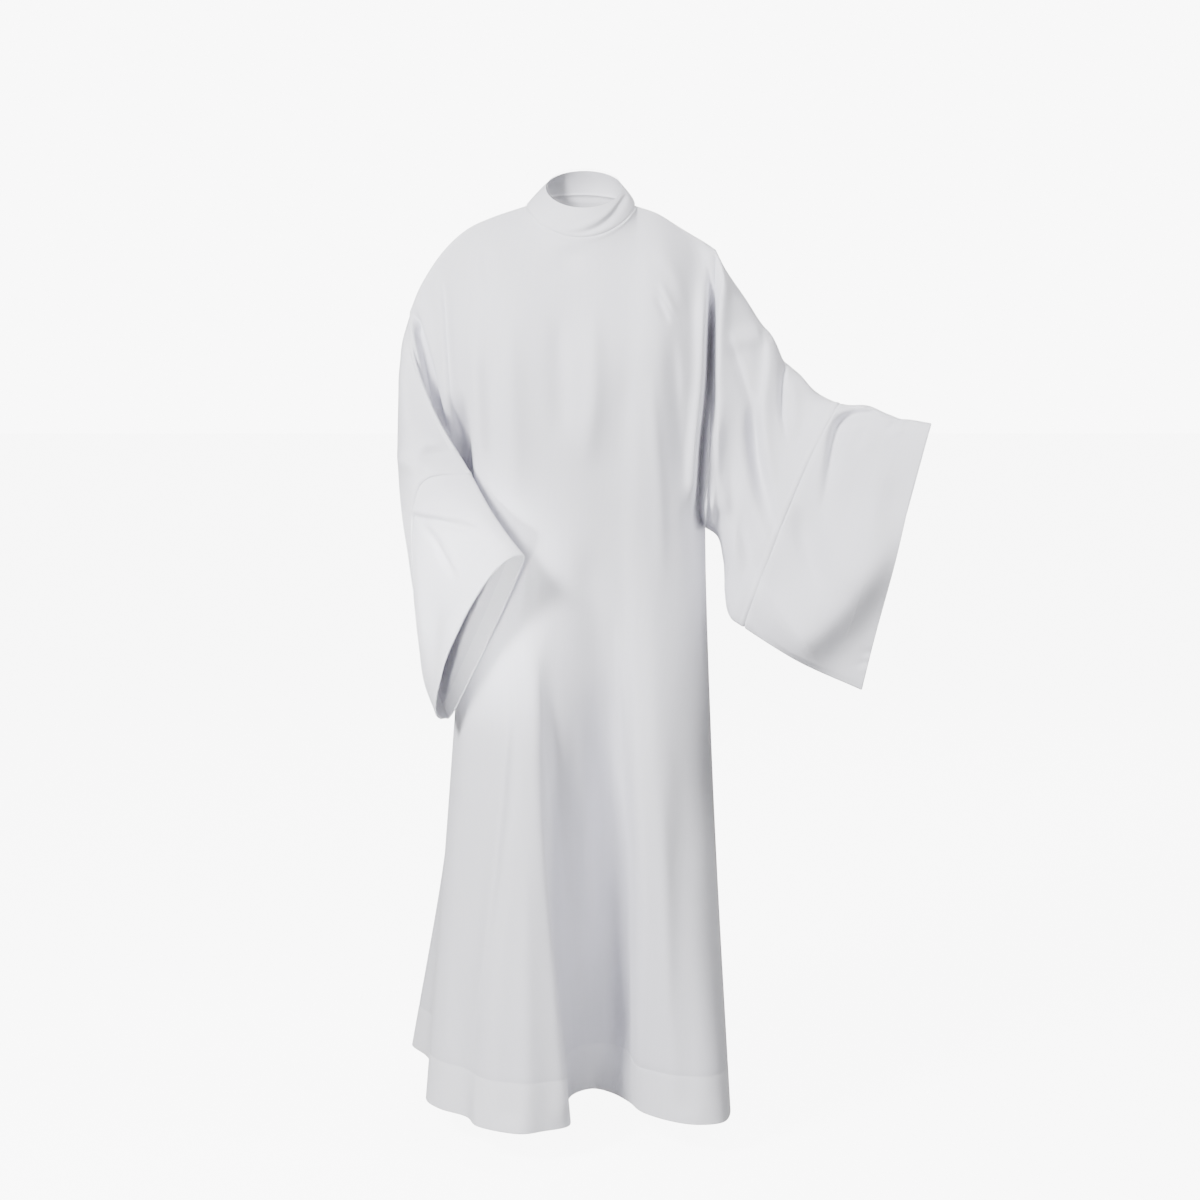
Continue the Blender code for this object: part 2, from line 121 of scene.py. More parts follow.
FRONT_LINES = (
    BodyLine("side seam, right", -0.190, 0.010, -0.214, 0.052, -0.247, 0.062),
    BodyLine("right edge of the front", -0.186, -0.030, -0.211, -0.012, -0.262, -0.022),
    BodyLine("beside it", -0.171, -0.068, -0.192, -0.075, -0.237, -0.077),
    BodyLine("small step, back", -0.147, -0.098, -0.155, -0.118, -0.190, -0.121),
    BodyLine("small step, front", -0.120, -0.116, -0.124, -0.147, -0.168, -0.171),
    BodyLine("right lobe", -0.097, -0.125, -0.100, -0.162, -0.104, -0.208),
    BodyLine("right lobe, inner half", -0.079, -0.130, -0.083, -0.166, -0.062, -0.194),
    BodyLine("sharp edge", -0.062, -0.132, -0.069, -0.160, -0.021, -0.165),
    BodyLine("turned back", -0.048, -0.133, -0.061, -0.148, -0.027, -0.096),
    BodyLine("recess, right", -0.030, -0.134, -0.040, -0.128, -0.020, -0.010),
    BodyLine("recess, middle", 0.000, -0.134, 0.002, -0.110, 0.014, 0.029),
    BodyLine("recess, left", 0.030, -0.131, 0.042, -0.105, 0.048, 0.006),
    BodyLine("flank of the left lobe", 0.058, -0.128, 0.069, -0.125, 0.076, -0.042),
    BodyLine("left lobe begins", 0.086, -0.130, 0.088, -0.157, 0.098, -0.098),
    BodyLine("left lobe", 0.115, -0.124, 0.117, -0.168, 0.146, -0.146),
    BodyLine("left lobe, outer half", 0.146, -0.104, 0.155, -0.147, 0.190, -0.162),
    BodyLine("left corner", 0.174, -0.076, 0.190, -0.104, 0.231, -0.143),
    BodyLine("left edge of the front", 0.196, -0.038, 0.208, -0.048, 0.242, -0.068),
    BodyLine("side seam, left", 0.199, 0.005, 0.207, 0.014, 0.226, 0.020),
)

BACK_LINES = (
    BodyLine("side seam, right", -0.190, 0.010, -0.214, 0.052, -0.247, 0.062),
    BodyLine("behind the seam", -0.186, 0.052, -0.213, 0.088, -0.258, 0.138),
    BodyLine("right lobe rises", -0.172, 0.088, -0.212, 0.120, -0.278, 0.218),
    BodyLine("right lobe", -0.150, 0.118, -0.192, 0.157, -0.308, 0.292),
    BodyLine("right lobe falls", -0.122, 0.137, -0.152, 0.178, -0.252, 0.316),
    BodyLine("first trough", -0.092, 0.148, -0.114, 0.176, -0.186, 0.252),
    BodyLine("second lobe rises", -0.062, 0.154, -0.076, 0.186, -0.132, 0.292),
    BodyLine("second lobe", -0.032, 0.157, -0.040, 0.196, -0.072, 0.318),
    BodyLine("second trough", 0.000, 0.158, -0.002, 0.184, -0.016, 0.232),
    BodyLine("third lobe rises", 0.032, 0.157, 0.036, 0.192, 0.040, 0.272),
    BodyLine("third lobe", 0.062, 0.153, 0.074, 0.191, 0.098, 0.280),
    BodyLine("third trough", 0.092, 0.145, 0.110, 0.166, 0.142, 0.190),
    BodyLine("left lobe", 0.124, 0.131, 0.146, 0.150, 0.194, 0.200),
    BodyLine("left lobe falls", 0.154, 0.106, 0.178, 0.115, 0.228, 0.140),
    BodyLine("behind the left seam", 0.190, 0.052, 0.203, 0.060, 0.226, 0.070),
    BodyLine("side seam, left", 0.199, 0.005, 0.207, 0.014, 0.226, 0.020),
)

RIGHT_RINGS = (
    SleeveRing("armhole", 0.0, -0.281, 0.000, -0.178, -0.190, 0.010, -0.530,
               -80, 0.042, 80, 0.055, 0.5, 1.00, 0.00, 0.00),
    SleeveRing("armpit", 0.4, -0.282, -0.012, -0.203, -0.213, 0.014, -0.545,
               -75, 0.030, 110, 0.040, 0.55, 0.80, 0.005, 0.00),
    SleeveRing("upper arm", 0.9, -0.280, -0.030, -0.235, -0.228, 0.022, -0.590,
               -60, 0.014, 138, 0.026, 0.6, 0.70, 0.008, 0.00),
    SleeveRing("above elbow", 1.9, -0.247, -0.078, -0.330, -0.243, 0.040, -0.675,
               -16, 0.008, 172, 0.042, 0.5, 0.70, 0.010, 0.00),
    SleeveRing("sleeve seam", 3.0, -0.187, -0.120, -0.434, -0.256, 0.052, -0.745,
               12, 0.008, 200, 0.064, 0.35, 0.80, 0.010, 0.00),
    SleeveRing("forearm", 4.0, -0.136, -0.178, -0.505, -0.248, -0.008, -0.792,
               22, 0.004, 206, 0.038, 0.7, 0.60, 0.010, 0.00),
    SleeveRing("cuff", 5.0, -0.094, -0.226, -0.553, -0.222, -0.085, -0.832,
               30, 0.004, 212, 0.044, 0.9, 0.50, 0.009, 0.00),
)

LEFT_RINGS = (
    SleeveRing("armhole", 0.0, 0.214, 0.000, -0.078, 0.199, 0.005, -0.530,
               -90, 0.040, 90, 0.062, 0.5, 1.00, 0.00, 0.00),
    SleeveRing("first ridge", 0.45, 0.230, -0.004, -0.107, 0.221, 0.001, -0.544,
               -98, 0.070, 90, 0.074, 0.6, 0.80, 0.004, 0.00),
    SleeveRing("upper arm", 1.0, 0.262, -0.010, -0.156, 0.230, -0.009, -0.580,
               -90, 0.060, 90, 0.067, 0.7, 0.70, 0.008, 0.00),
    SleeveRing("above elbow", 2.0, 0.318, -0.022, -0.244, 0.232, -0.030, -0.632,
               -95, 0.050, 85, 0.060, 0.7, 0.70, 0.010, 0.00),
    SleeveRing("elbow", 3.0, 0.364, -0.040, -0.298, 0.239, -0.045, -0.668,
               -102, 0.043, 78, 0.051, 0.7, 0.70, 0.010, 0.00),
    SleeveRing("sleeve seam", 4.0, 0.411, -0.068, -0.325, 0.262, -0.062, -0.686,
               -108, 0.041, 72, 0.043, 0.7, 0.70, 0.010, 0.00),
    SleeveRing("forearm", 5.0, 0.472, -0.118, -0.340, 0.350, -0.095, -0.738,
               -115, 0.028, 65, 0.026, 0.7, 0.70, 0.009, 0.00),
    SleeveRing("cuff", 6.0, 0.543, -0.176, -0.353, 0.444, -0.130, -0.778,
               -100, 0.018, 82, 0.014, 0.6, 0.70, 0.008, -0.001),
)

# Across, height: the shoulders from the end of the body to the neck
RIGHT_SHOULDER = (
    (-0.281, -0.178), (-0.262, -0.134), (-0.228, -0.083),
    (-0.188, -0.046), (-0.140, -0.024), (-0.091, -0.008),
)
LEFT_SHOULDER = (
    (0.085, -0.008), (0.118, -0.019), (0.152, -0.040), (0.186, -0.060), (0.214, -0.078),
)


# --------------------------------------------------------------------------- creases

MM_PER_METRE = 1000.0
PIECES_A_POINT = 4
LEAN_REACH = 0.35
LIP_AWAY = 1.7
LIP_WIDTH = 1.1
TINY = 1e-9


def smooth(t: Array) -> Array:
    """Soft step from 0 to 1."""
    t = np.clip(t, 0, 1)
    return t * t * (3 - 2 * t)


def bell(away: Array, width: float | Array, power: int = 2) -> Array:
    """1 where away is 0, falling off within width; a power above 2 flattens its top."""
    return np.exp(-((away / width) ** power))


def apart(points: Array, others: Array) -> Array:
    """Distances between points and others."""
    return np.linalg.norm(points - others, axis=-1)


def unit(ways: Array) -> Array:
    """The same directions with length 1."""
    return ways / np.maximum(np.linalg.norm(ways, axis=-1, keepdims=True), TINY)


def between(t: Array, span: float | Array, ends: Array, slopes: Array, k: int | Array) -> Array:
    """Cubic from row k of ends to the next row, with these slopes.

    Args:
        t: share of the span, 0 to 1.
        span: its length.
        ends: rows of values.
        slopes: rows of slopes.
        k: the row where the span begins.

    Returns:
        The values at t.
    """
    return (
        (2 * t**3 - 3 * t**2 + 1) * ends[k]
        + (t**3 - 2 * t**2 + t) * span * slopes[k]
        + (3 * t**2 - 2 * t**3) * ends[k + 1]
        + (t**3 - t**2) * span * slopes[k + 1]
    )


def through(knots: Array, values: Array, at: Array) -> Array:
    """Smooth curve through rows of values.

    Args:
        knots: place of each row.
        values: one row of numbers per knot.
        at: places to read.

    Returns:
        Rows of numbers, with the shape of at and one more axis.
    """
    knots, values, at = (np.asarray(v, float) for v in (knots, values, at))
    slope = np.gradient(values, knots, axis=0).reshape(len(knots), -1)
    k = np.clip(np.searchsorted(knots, at, side="right") - 1, 0, len(knots) - 2)
    span = (knots[k + 1] - knots[k])[..., None]
    t = (at - knots[k])[..., None] / span
    return between(t, span, values.reshape(len(knots), -1), slope, k)


@dataclass(frozen=True)
class Crease:
    """A soft ridge or trough along a path over the cloth, in across and height.

    path, width and depth are in millimetres. depth is out of the cloth (a ridge) above 0.
    lean from -1 to 1 makes one side steeper: above 0, the side to the left of the path's
    run. lip raises the other way beside it. The fades are shares of the path.
    """

    name: str
    path: tuple[tuple[float, float], ...]
    width: float
    depth: float
    lean: float = 0.0
    lip: float = 0.0
    fade_in: float = 0.35
    fade_out: float = 0.35

    def shift(self, x: Array, z: Array) -> Array:
        """How far this crease moves the cloth out at each place.

        Args:
            x: places across.
            z: heights.

        Returns:
            The shift in metres.
        """
        knots = np.array(self.path) / MM_PER_METRE
        half, depth = self.width / MM_PER_METRE, self.depth / MM_PER_METRE
        steps = np.linspace(0, 1, PIECES_A_POINT * (len(knots) + 1) + 1)
        line = through(np.linspace(0, 1, len(knots)), knots, steps)
        runs = np.diff(line, axis=0)
        lengths = np.linalg.norm(runs, axis=1)
        start = np.concatenate([[0.0], np.cumsum(lengths)[:-1]])
        best, side, place = np.full(x.shape, np.inf), np.zeros(x.shape), np.zeros(x.shape)
        for begin, run, length, done in zip(line[:-1], runs, lengths, start):
            dx, dz = x - begin[0], z - begin[1]
            t = np.clip((dx * run[0] + dz * run[1]) / length**2, 0, 1)
            away = np.hypot(dx - t * run[0], dz - t * run[1])
            near = away < best
            best = np.where(near, away, best)
            side = np.where(near, np.sign(run[0] * dz - run[1] * dx), side)
            place = np.where(near, (done + t * length) / lengths.sum(), place)
        signed = best * side
        width = half * (1 - self.lean * np.tanh(signed / (LEAN_REACH * half)))
        fade = smooth(place / self.fade_in) * smooth((1 - place) / self.fade_out)
        shape = bell(signed, width)
        if self.lip:
            aside = np.sign(self.lip) * LIP_AWAY * half
            shape = shape - abs(self.lip) * bell(signed - aside, LIP_WIDTH * half)
        return depth * fade * shape


@dataclass(frozen=True)
class Hump:
    """A rise of the cloth where it lies over the arm: its place across, width and height."""

    name: str
    across: float
    width: float
    height: float
    reach: float = 0.045

    def lift(self, x: Array, from_top: Array) -> Array:
        """How far the cloth rises, from its place across and its distance to the over-arm line."""
        near = np.exp(-(((x - self.across) / self.width) ** 2) - (from_top / self.reach) ** 2)
        return self.height * near


LEFT_HUMPS = (
    Hump("over the elbow", 0.305, 0.0130, 0.0105),
    Hump("beside the elbow", 0.324, 0.0070, -0.0050),
    Hump("below the elbow", 0.352, 0.0140, 0.0060),
    Hump("forearm", 0.452, 0.0240, 0.0085),
    Hump("near the wrist", 0.500, 0.0100, -0.0020),
)


def lift_left_sleeve(points: Array, from_top: Array) -> None:
    """Raise the left sleeve's points in place, by every hump over the arm."""
    points[..., 2] += sum(hump.lift(points[..., 0], from_top) for hump in LEFT_HUMPS)


@dataclass(frozen=True)
class Unevenness:
    """Slow, irregular rise and fall of hanging cloth, the same each run."""

    seed: int
    cell_across: float = 0.045
    cell_down: float = 0.170
    height: float = 0.0016
    cells: int = 64
    first_x: float = -0.6
    first_z: float = -1.7

    def shift(self, x: Array, z: Array) -> Array:
        """How far the cloth stands out at each place across and height."""
        rng = np.random.default_rng(self.seed)
        lattice = rng.uniform(-1, 1, (self.cells, self.cells))
        a = (x - self.first_x) / self.cell_across
        b = (z - self.first_z) / self.cell_down
        i, j = np.floor(a).astype(int), np.floor(b).astype(int)
        s, t = smooth(a - i), smooth(b - j)
        i, j = i % (self.cells - 1), j % (self.cells - 1)
        low = lattice[i, j] * (1 - s) + lattice[i + 1, j] * s
        high = lattice[i, j + 1] * (1 - s) + lattice[i + 1, j + 1] * s
        return self.height * (low * (1 - t) + high * t)


@dataclass(frozen=True)
class CreaseField:
    """All the creases of one side of the cloth, with its slow unevenness.

    way is the direction in which a ridge stands out; without it ridges stand off the cloth.
    """

    creases: tuple[Crease, ...]
    uneven: Unevenness
    way: Triple = (0.0, 0.0, 0.0)

    def shift(self, x: Array, z: Array) -> Array:
        """Sum of every crease and the unevenness at each place."""
        total = self.uneven.shift(x, z)
        for crease in self.creases:
            total = total + crease.shift(x, z)
        return total


FRONT_CREASES = (
    # by the left shoulder and down the left side
    Crease("armhole valley", ((203, -100), (204, -145), (204, -200), (201, -288), (196, -340),
        (191, -388), (187, -462), (188, -500), (194, -530)), 6.6, -40, lean=0.15, fade_in=0.32,
        fade_out=0.03),
    Crease("armhole fold", ((205, -70), (221, -92), (226, -115), (225, -140), (220, -170), (215, -220),
        (212, -288), (208, -340)), 9, 11, lean=-0.40, fade_in=0.15, fade_out=0.30),
    Crease("armhole fold, low", ((214, -230), (210, -310), (205, -400), (201, -470), (202, -520)), 16,
        22, lean=-0.45, fade_in=0.50, fade_out=0.12),
    Crease("edge of the armhole valley", ((193, -90), (195.5, -130), (196.5, -200), (194, -288),
        (189, -340), (184, -388), (180, -462), (181, -510)), 10, 32, lean=0.50, fade_in=0.25,
        fade_out=0.15),
    Crease("armhole fold, filled", ((209, -300), (207, -360), (205, -400), (205, -450), (203, -490),
        (203, -530)), 9.5, 30, lean=-0.37, fade_in=0.40, fade_out=0.08),
    Crease("by the armpit", ((213, -430), (212, -490), (213, -540), (216, -600)), 14, 20, lean=-0.40,
        fade_in=0.40, fade_out=0.25),
    Crease("armhole seam, filled", ((203.5, -380), (202.8, -410), (201.4, -450), (200.3, -490),
        (199.5, -530)), 1.7, 10.5, fade_in=0.40, fade_out=0.10),
    Crease("short pull, light", ((120, -132), (134, -158), (151, -188)), 5, 3.8, lean=-0.3),
    Crease("short pull, dark", ((114, -150), (125, -173), (138, -202)), 6, -4.8, lean=0.2),
    Crease("pull from the neck", ((106, -72), (128, -94), (150, -130), (162, -190)), 12, 4, fade_in=0.4,
        fade_out=0.4),
    Crease("left drape, first", ((136, -195), (144, -270), (152, -370), (162, -490)), 13, -7, lean=0.2,
        lip=0.15, fade_in=0.3),
    Crease("left drape, second", ((164, -270), (170, -380), (176, -500), (182, -620)), 12, -6,
        lip=-0.3),
    Crease("left drape's light line", ((104, -250), (114, -360), (124, -480), (128, -640)), 10, 4.5,
        lean=0.2),
    # over the chest
    Crease("right arm's second fold", ((-234, -98), (-222, -145), (-217, -200), (-212, -262),
        (-207, -322), (-190, -390)), 7.2, -8.5, lean=-0.3, lip=-0.5, fade_in=0.25, fade_out=0.10),
    Crease("right arm's pocket", ((-196, -300), (-189, -345), (-184, -395), (-182, -440), (-180, -500)),
        18, -90, lean=0.76, fade_in=0.50, fade_out=0.20),
    Crease("short fold, right", ((-153, -72), (-150, -112), (-146, -150)), 9, -5.5, lip=0.5),
    Crease("light band, far right", ((-176, -180), (-168, -300), (-160, -460)), 14, 8, lip=0.3),
    Crease("light band, right", ((-120, -160), (-112, -320), (-100, -540)), 20, 7.8),
    Crease("under the collar", ((-22, -70), (-20, -98), (-16, -130)), 22, -6, fade_in=0.40,
        fade_out=0.6),
    Crease("dark band, middle", ((-34, -160), (-34, -270), (-28, -400)), 18, -8),
    Crease("light band, middle", ((12, -150), (18, -300), (4, -430)), 16, 7),
    Crease("hollow above the waist", ((74, -250), (56, -350), (30, -480)), 28, -4.5),
    Crease("waist, right", ((-100, -500), (-94, -600), (-100, -720)), 16, 4.5, lip=0.3),
    Crease("waist, middle", ((10, -520), (16, -640), (24, -780)), 24, -7),
    # down the skirt
    Crease("sharp edge", ((-74, -680), (-70, -800), (-63, -900), (-54, -1020), (-43, -1150),
        (-30, -1310), (-22, -1478)), 11, 9, lean=0.70, lip=0.7, fade_in=0.25, fade_out=0.05),
    Crease("line on the right lobe", ((-112, -700), (-124, -900), (-142, -1080), (-160, -1200),
        (-178, -1330), (-182, -1478)), 9, 5, lean=0.25, lip=0.6, fade_in=0.3, fade_out=0.05),
    Crease("right lobe, outer hollow", ((-176, -860), (-200, -1100), (-214, -1400)), 18, -5, lip=0.3),
    Crease("right lobe, inner hollow", ((-96, -820), (-100, -1050), (-110, -1300), (-112, -1478)), 20,
        -5.5, fade_out=0.05),
    Crease("recess", ((34, -620), (48, -760), (58, -900), (66, -1020), (70, -1150), (70, -1300),
        (68, -1420)), 60, -25, lean=0.78, fade_in=0.6, fade_out=0.45),
    Crease("recess, light line", ((-4, -760), (4, -1000), (10, -1300)), 12, 5, lip=0.4),
    Crease("deep valley", ((40, -640), (52, -780), (62, -900), (69, -1020), (72, -1150), (72, -1300),
        (70, -1478)), 30, -62, lean=0.84, fade_in=0.50, fade_out=0.16),
    Crease("left lobe's edge", ((52, -640), (63, -780), (73, -900), (80, -1020), (83, -1150),
        (83, -1300), (81, -1478)), 12, 14, lean=-0.7, fade_in=0.5, fade_out=0.16),
    Crease("left lobe, hollow", ((150, -720), (158, -1020), (170, -1478)), 18, -4.5, lip=0.3,
        fade_out=0.05),
    Crease("left lobe, fine line", ((122, -900), (132, -1100), (138, -1380)), 10, 2.6, lip=0.5),
    Crease("left corner", ((186, -640), (200, -940), (220, -1300)), 14, 4.5, lip=0.3),
    # the left sleeve's front
    Crease("elbow patch, top", ((235, -227), (258, -221), (290, -213)), 12, 4.5, lean=0.2, lip=0.2,
        fade_in=0.2, fade_out=0.2),
    Crease("elbow patch, side", ((235, -227), (248, -263), (262, -306), (267, -335)), 8.5, -7, lean=0.2,
        fade_in=0.25, fade_out=0.35),
    Crease("trough below the patch", ((260, -288), (272, -335), (278, -383), (286, -440), (301, -505),
        (319, -575)), 12.5, -28, lean=0.25, fade_in=0.35, fade_out=0.60),
    Crease("third fold", ((287, -208), (297, -224), (297, -263), (291, -306), (288, -354), (291, -406),
        (303, -444), (322, -462)), 9.5, 6.5, lean=-0.45, lip=-0.35, fade_in=0.15, fade_out=0.3),
    Crease("notch by the elbow", ((324, -256), (320, -290), (319, -335), (322, -366), (328, -396)), 5,
        -12, lean=0.2, fade_in=0.12, fade_out=0.60),
    Crease("beside the notch", ((336, -280), (339, -320), (338, -390)), 10, 4, fade_in=0.2),
    Crease("forearm roll", ((466, -327), (424, -327), (394, -342), (381, -372), (374, -414)), 12, 9.5,
        lean=0.2, fade_in=0.12, fade_out=0.5),
    Crease("under the roll", ((472, -341), (436, -341), (409, -357), (398, -384), (390, -430),
        (385, -464), (378, -512)), 10, -14, lean=-0.2, lip=-0.3, fade_in=0.12, fade_out=0.5),
    Crease("wrist, first", ((452, -352), (440, -370), (432, -400)), 8, -3, lip=0.5),
    Crease("wrist, second", ((502, -349), (488, -356), (474, -370)), 6, -5, lip=0.5, fade_in=0.2),
    Crease("down from the wrist", ((476, -390), (458, -470), (440, -560)), 20, 5, lip=0.3),
    Crease("lower bend", ((500, -455), (467, -524), (431, -590), (395, -642), (352, -686), (302, -718)),
        56, 54, lean=0.12, fade_in=0.50, fade_out=0.16),
    Crease("second soft valley", ((346, -476), (352, -527), (368, -586), (378, -640)), 18, -13,
        lip=0.3),
    Crease("armhole fold's fall", ((222, -420), (236, -520), (250, -620)), 12, 9, lip=-0.3),
    Crease("under the arm", ((250, -470), (268, -560), (290, -640)), 15, -10, lip=0.3),
    Crease("hem's corner, first", ((490, -716), (462, -712), (438, -722)), 6, -2.6, lip=0.6),
    Crease("hem's corner, second", ((474, -742), (452, -730), (430, -742)), 6, -2.2, lip=0.6),
)

BACK_CREASES = (
    Crease("under the neck", ((-70, -30), (0, -50), (70, -30)), 10, -3, lip=0.4),
    Crease("shoulder blade, right", ((-130, -60), (-112, -260), (-118, -520)), 16, 4.5, lip=0.5),
    Crease("shoulder blade, left", ((100, -60), (92, -240), (88, -460)), 15, 4.5, lip=-0.5),
    Crease("middle of the back", ((-4, -90), (-10, -340), (-4, -640)), 18, -5.5, lip=0.4),
    Crease("armhole valley, back", ((206, -100), (202, -230), (194, -400), (190, -490)), 11, -12,
        fade_in=0.2),
    Crease("pull, left", ((110, -130), (136, -176), (152, -230)), 7, -3.5, lip=0.6),
    Crease("pull, right", ((-196, -140), (-176, -200), (-164, -290)), 8, -4, lip=-0.6),
    Crease("right side, long", ((-166, -300), (-158, -520), (-190, -860)), 14, 4.5, lip=0.4),
    Crease("seat, right", ((-70, -560), (-76, -820), (-90, -1100)), 16, 5, lip=-0.4),
    Crease("seat, left", ((56, -540), (60, -800), (72, -1080)), 16, 4.5, lip=0.4),
    Crease("first trough, deeper", ((-120, -900), (-150, -1180), (-186, -1478)), 14, -6, fade_out=0.05),
    Crease("second trough, deeper", ((-2, -860), (-10, -1140), (-16, -1478)), 15, -6.5, fade_out=0.05),
    Crease("third trough, deeper", ((112, -880), (126, -1160), (140, -1478)), 13, -5, fade_out=0.05),
    Crease("second lobe's line", ((-46, -960), (-62, -1200), (-82, -1478)), 10, 3.5, lip=0.5,
        fade_out=0.05),
    Crease("right lobe's line", ((-200, -860), (-236, -1120), (-276, -1478)), 11, 4, lip=0.5,
        fade_out=0.05),
    Crease("sleeve, first", ((246, -190), (262, -330), (270, -520)), 13, 7, lip=-0.5),
    Crease("sleeve, second", ((300, -250), (300, -380), (306, -560)), 13, -8, lip=0.4),
    Crease("sleeve, from the elbow", ((350, -310), (344, -400), (336, -520)), 11, 7, lip=0.5),
    Crease("forearm, back", ((440, -345), (410, -400), (390, -520)), 12, 5.5, lip=0.5),
    Crease("forearm, back, low", ((500, -520), (450, -620), (380, -700)), 22, -5, lip=0.3),
)

# The right sleeve's outer layer, which faces out and forward
OUTER_CREASES = (
    Crease("down the upper arm", ((-276, -230), (-262, -270), (-248, -320), (-246, -370)), 10, 5,
        lip=0.5),
    Crease("elbow, hollow", ((-258, -396), (-236, -404), (-214, -414)), 10, -7, lean=0.2, lip=-0.4),
    Crease("elbow, fold from the front", ((-216, -372), (-232, -386), (-262, -392)), 9, 5,
        fade_in=0.15),
    Crease("elbow, point", ((-300, -420), (-276, -416), (-250, -430)), 14, 7),
    Crease("arm, long", ((-290, -250), (-282, -310), (-276, -380)), 12, 4.5, lip=0.4),
    Crease("below the seam", ((-282, -492), (-236, -496), (-190, -502), (-150, -512)), 7, 6, lean=-0.3,
        lip=-0.6, fade_in=0.25, fade_out=0.25),
    Crease("slant down", ((-264, -505), (-236, -536), (-210, -580), (-192, -612)), 8, -5.5, lip=0.6),
    Crease("long fall, back", ((-272, -540), (-268, -640), (-254, -750)), 14, 4, lip=0.4),
    Crease("long fall, middle", ((-232, -620), (-236, -700), (-238, -780)), 12, -3.5, lip=0.4),
)

FRONT_FIELD = CreaseField(FRONT_CREASES, Unevenness(seed=5, height=0.0013), way=(0.0, -1.0, 0.0))
BACK_FIELD = CreaseField(BACK_CREASES, Unevenness(seed=8), way=(0.0, 1.0, 0.0))
OUTER_FIELD = CreaseField(
    OUTER_CREASES, Unevenness(seed=11, cell_across=0.040, cell_down=0.090, height=0.0010)
)
INNER_FIELD = CreaseField((), Unevenness(seed=14, height=0.0010))
STILL_FIELD = CreaseField((), Unevenness(seed=3, height=0.0))

# The field of each layer, on the body with the left sleeve and on the right sleeve
BODY_FIELDS = {Layer.FRONT: FRONT_FIELD, Layer.BACK: BACK_FIELD}
RIGHT_SLEEVE_FIELDS = {Layer.FRONT: INNER_FIELD, Layer.BACK: OUTER_FIELD}


# ---------------------------------------------------------------------- the worn form

# A calm line over the shoulders: places across, and its depths as shares of the neck's
CALM_PLACES = (0.0, 0.2, 0.5, 0.8, 1.0)
CALM_SHARES = (0.55, 0.8, 0.55)

# Where a section's sizes stand, after its place along the arm
OVER_ARM, UNDER_ARM = slice(0, 3), slice(3, 6)
BULGE_AT = {Layer.FRONT: 6, Layer.BACK: 8}
SHAPE_AT = range(10, 14)


@dataclass(frozen=True)
class SleeveForm:
    """The middle surface of one sleeve, from the armhole to the cuff."""

    rings: tuple[SleeveRing, ...]
    end_reach: float = 0.02
    stride: float = 0.05

    def points(self, s: Array, w: Array, layer: Layer) -> Array:
        """Points of one layer.

        Args:
            s: places along the arm.
            w: places round the section, 0 over the arm and 1 under it.
            layer: front or back layer.

        Returns:
            Points with one more axis than s.
        """
        table = np.array([ring.numbers() for ring in self.rings])
        place, sizes = table[:, 0], table[:, 1:]
        row = through(place, sizes, s)
        top, low = row[..., OVER_ARM], row[..., UNDER_ARM]
        turn, out = np.radians(row[..., BULGE_AT[layer]]), row[..., BULGE_AT[layer] + 1]
        lean, blunt, end, bow = (row[..., k] for k in SHAPE_AT)
        side = np.stack([np.cos(turn), np.sin(turn), 0 * turn], -1)
        bulge = np.clip(np.sin(np.pi * np.clip(w, 0, 1) ** lean), 0, None) ** blunt * out
        bulge = bulge + end * np.sqrt(1 - np.exp(-w * (1 - w) / self.end_reach))
        ahead = through(place, sizes[:, OVER_ARM], np.minimum(s + self.stride, place[-1]))
        behind = through(place, sizes[:, OVER_ARM], np.maximum(s - self.stride, place[0]))
        points = top + (low - top) * w[..., None] + side * bulge[..., None]
        return points + unit(ahead - behind) * (2 * bow * np.sin(np.pi * w))[..., None]


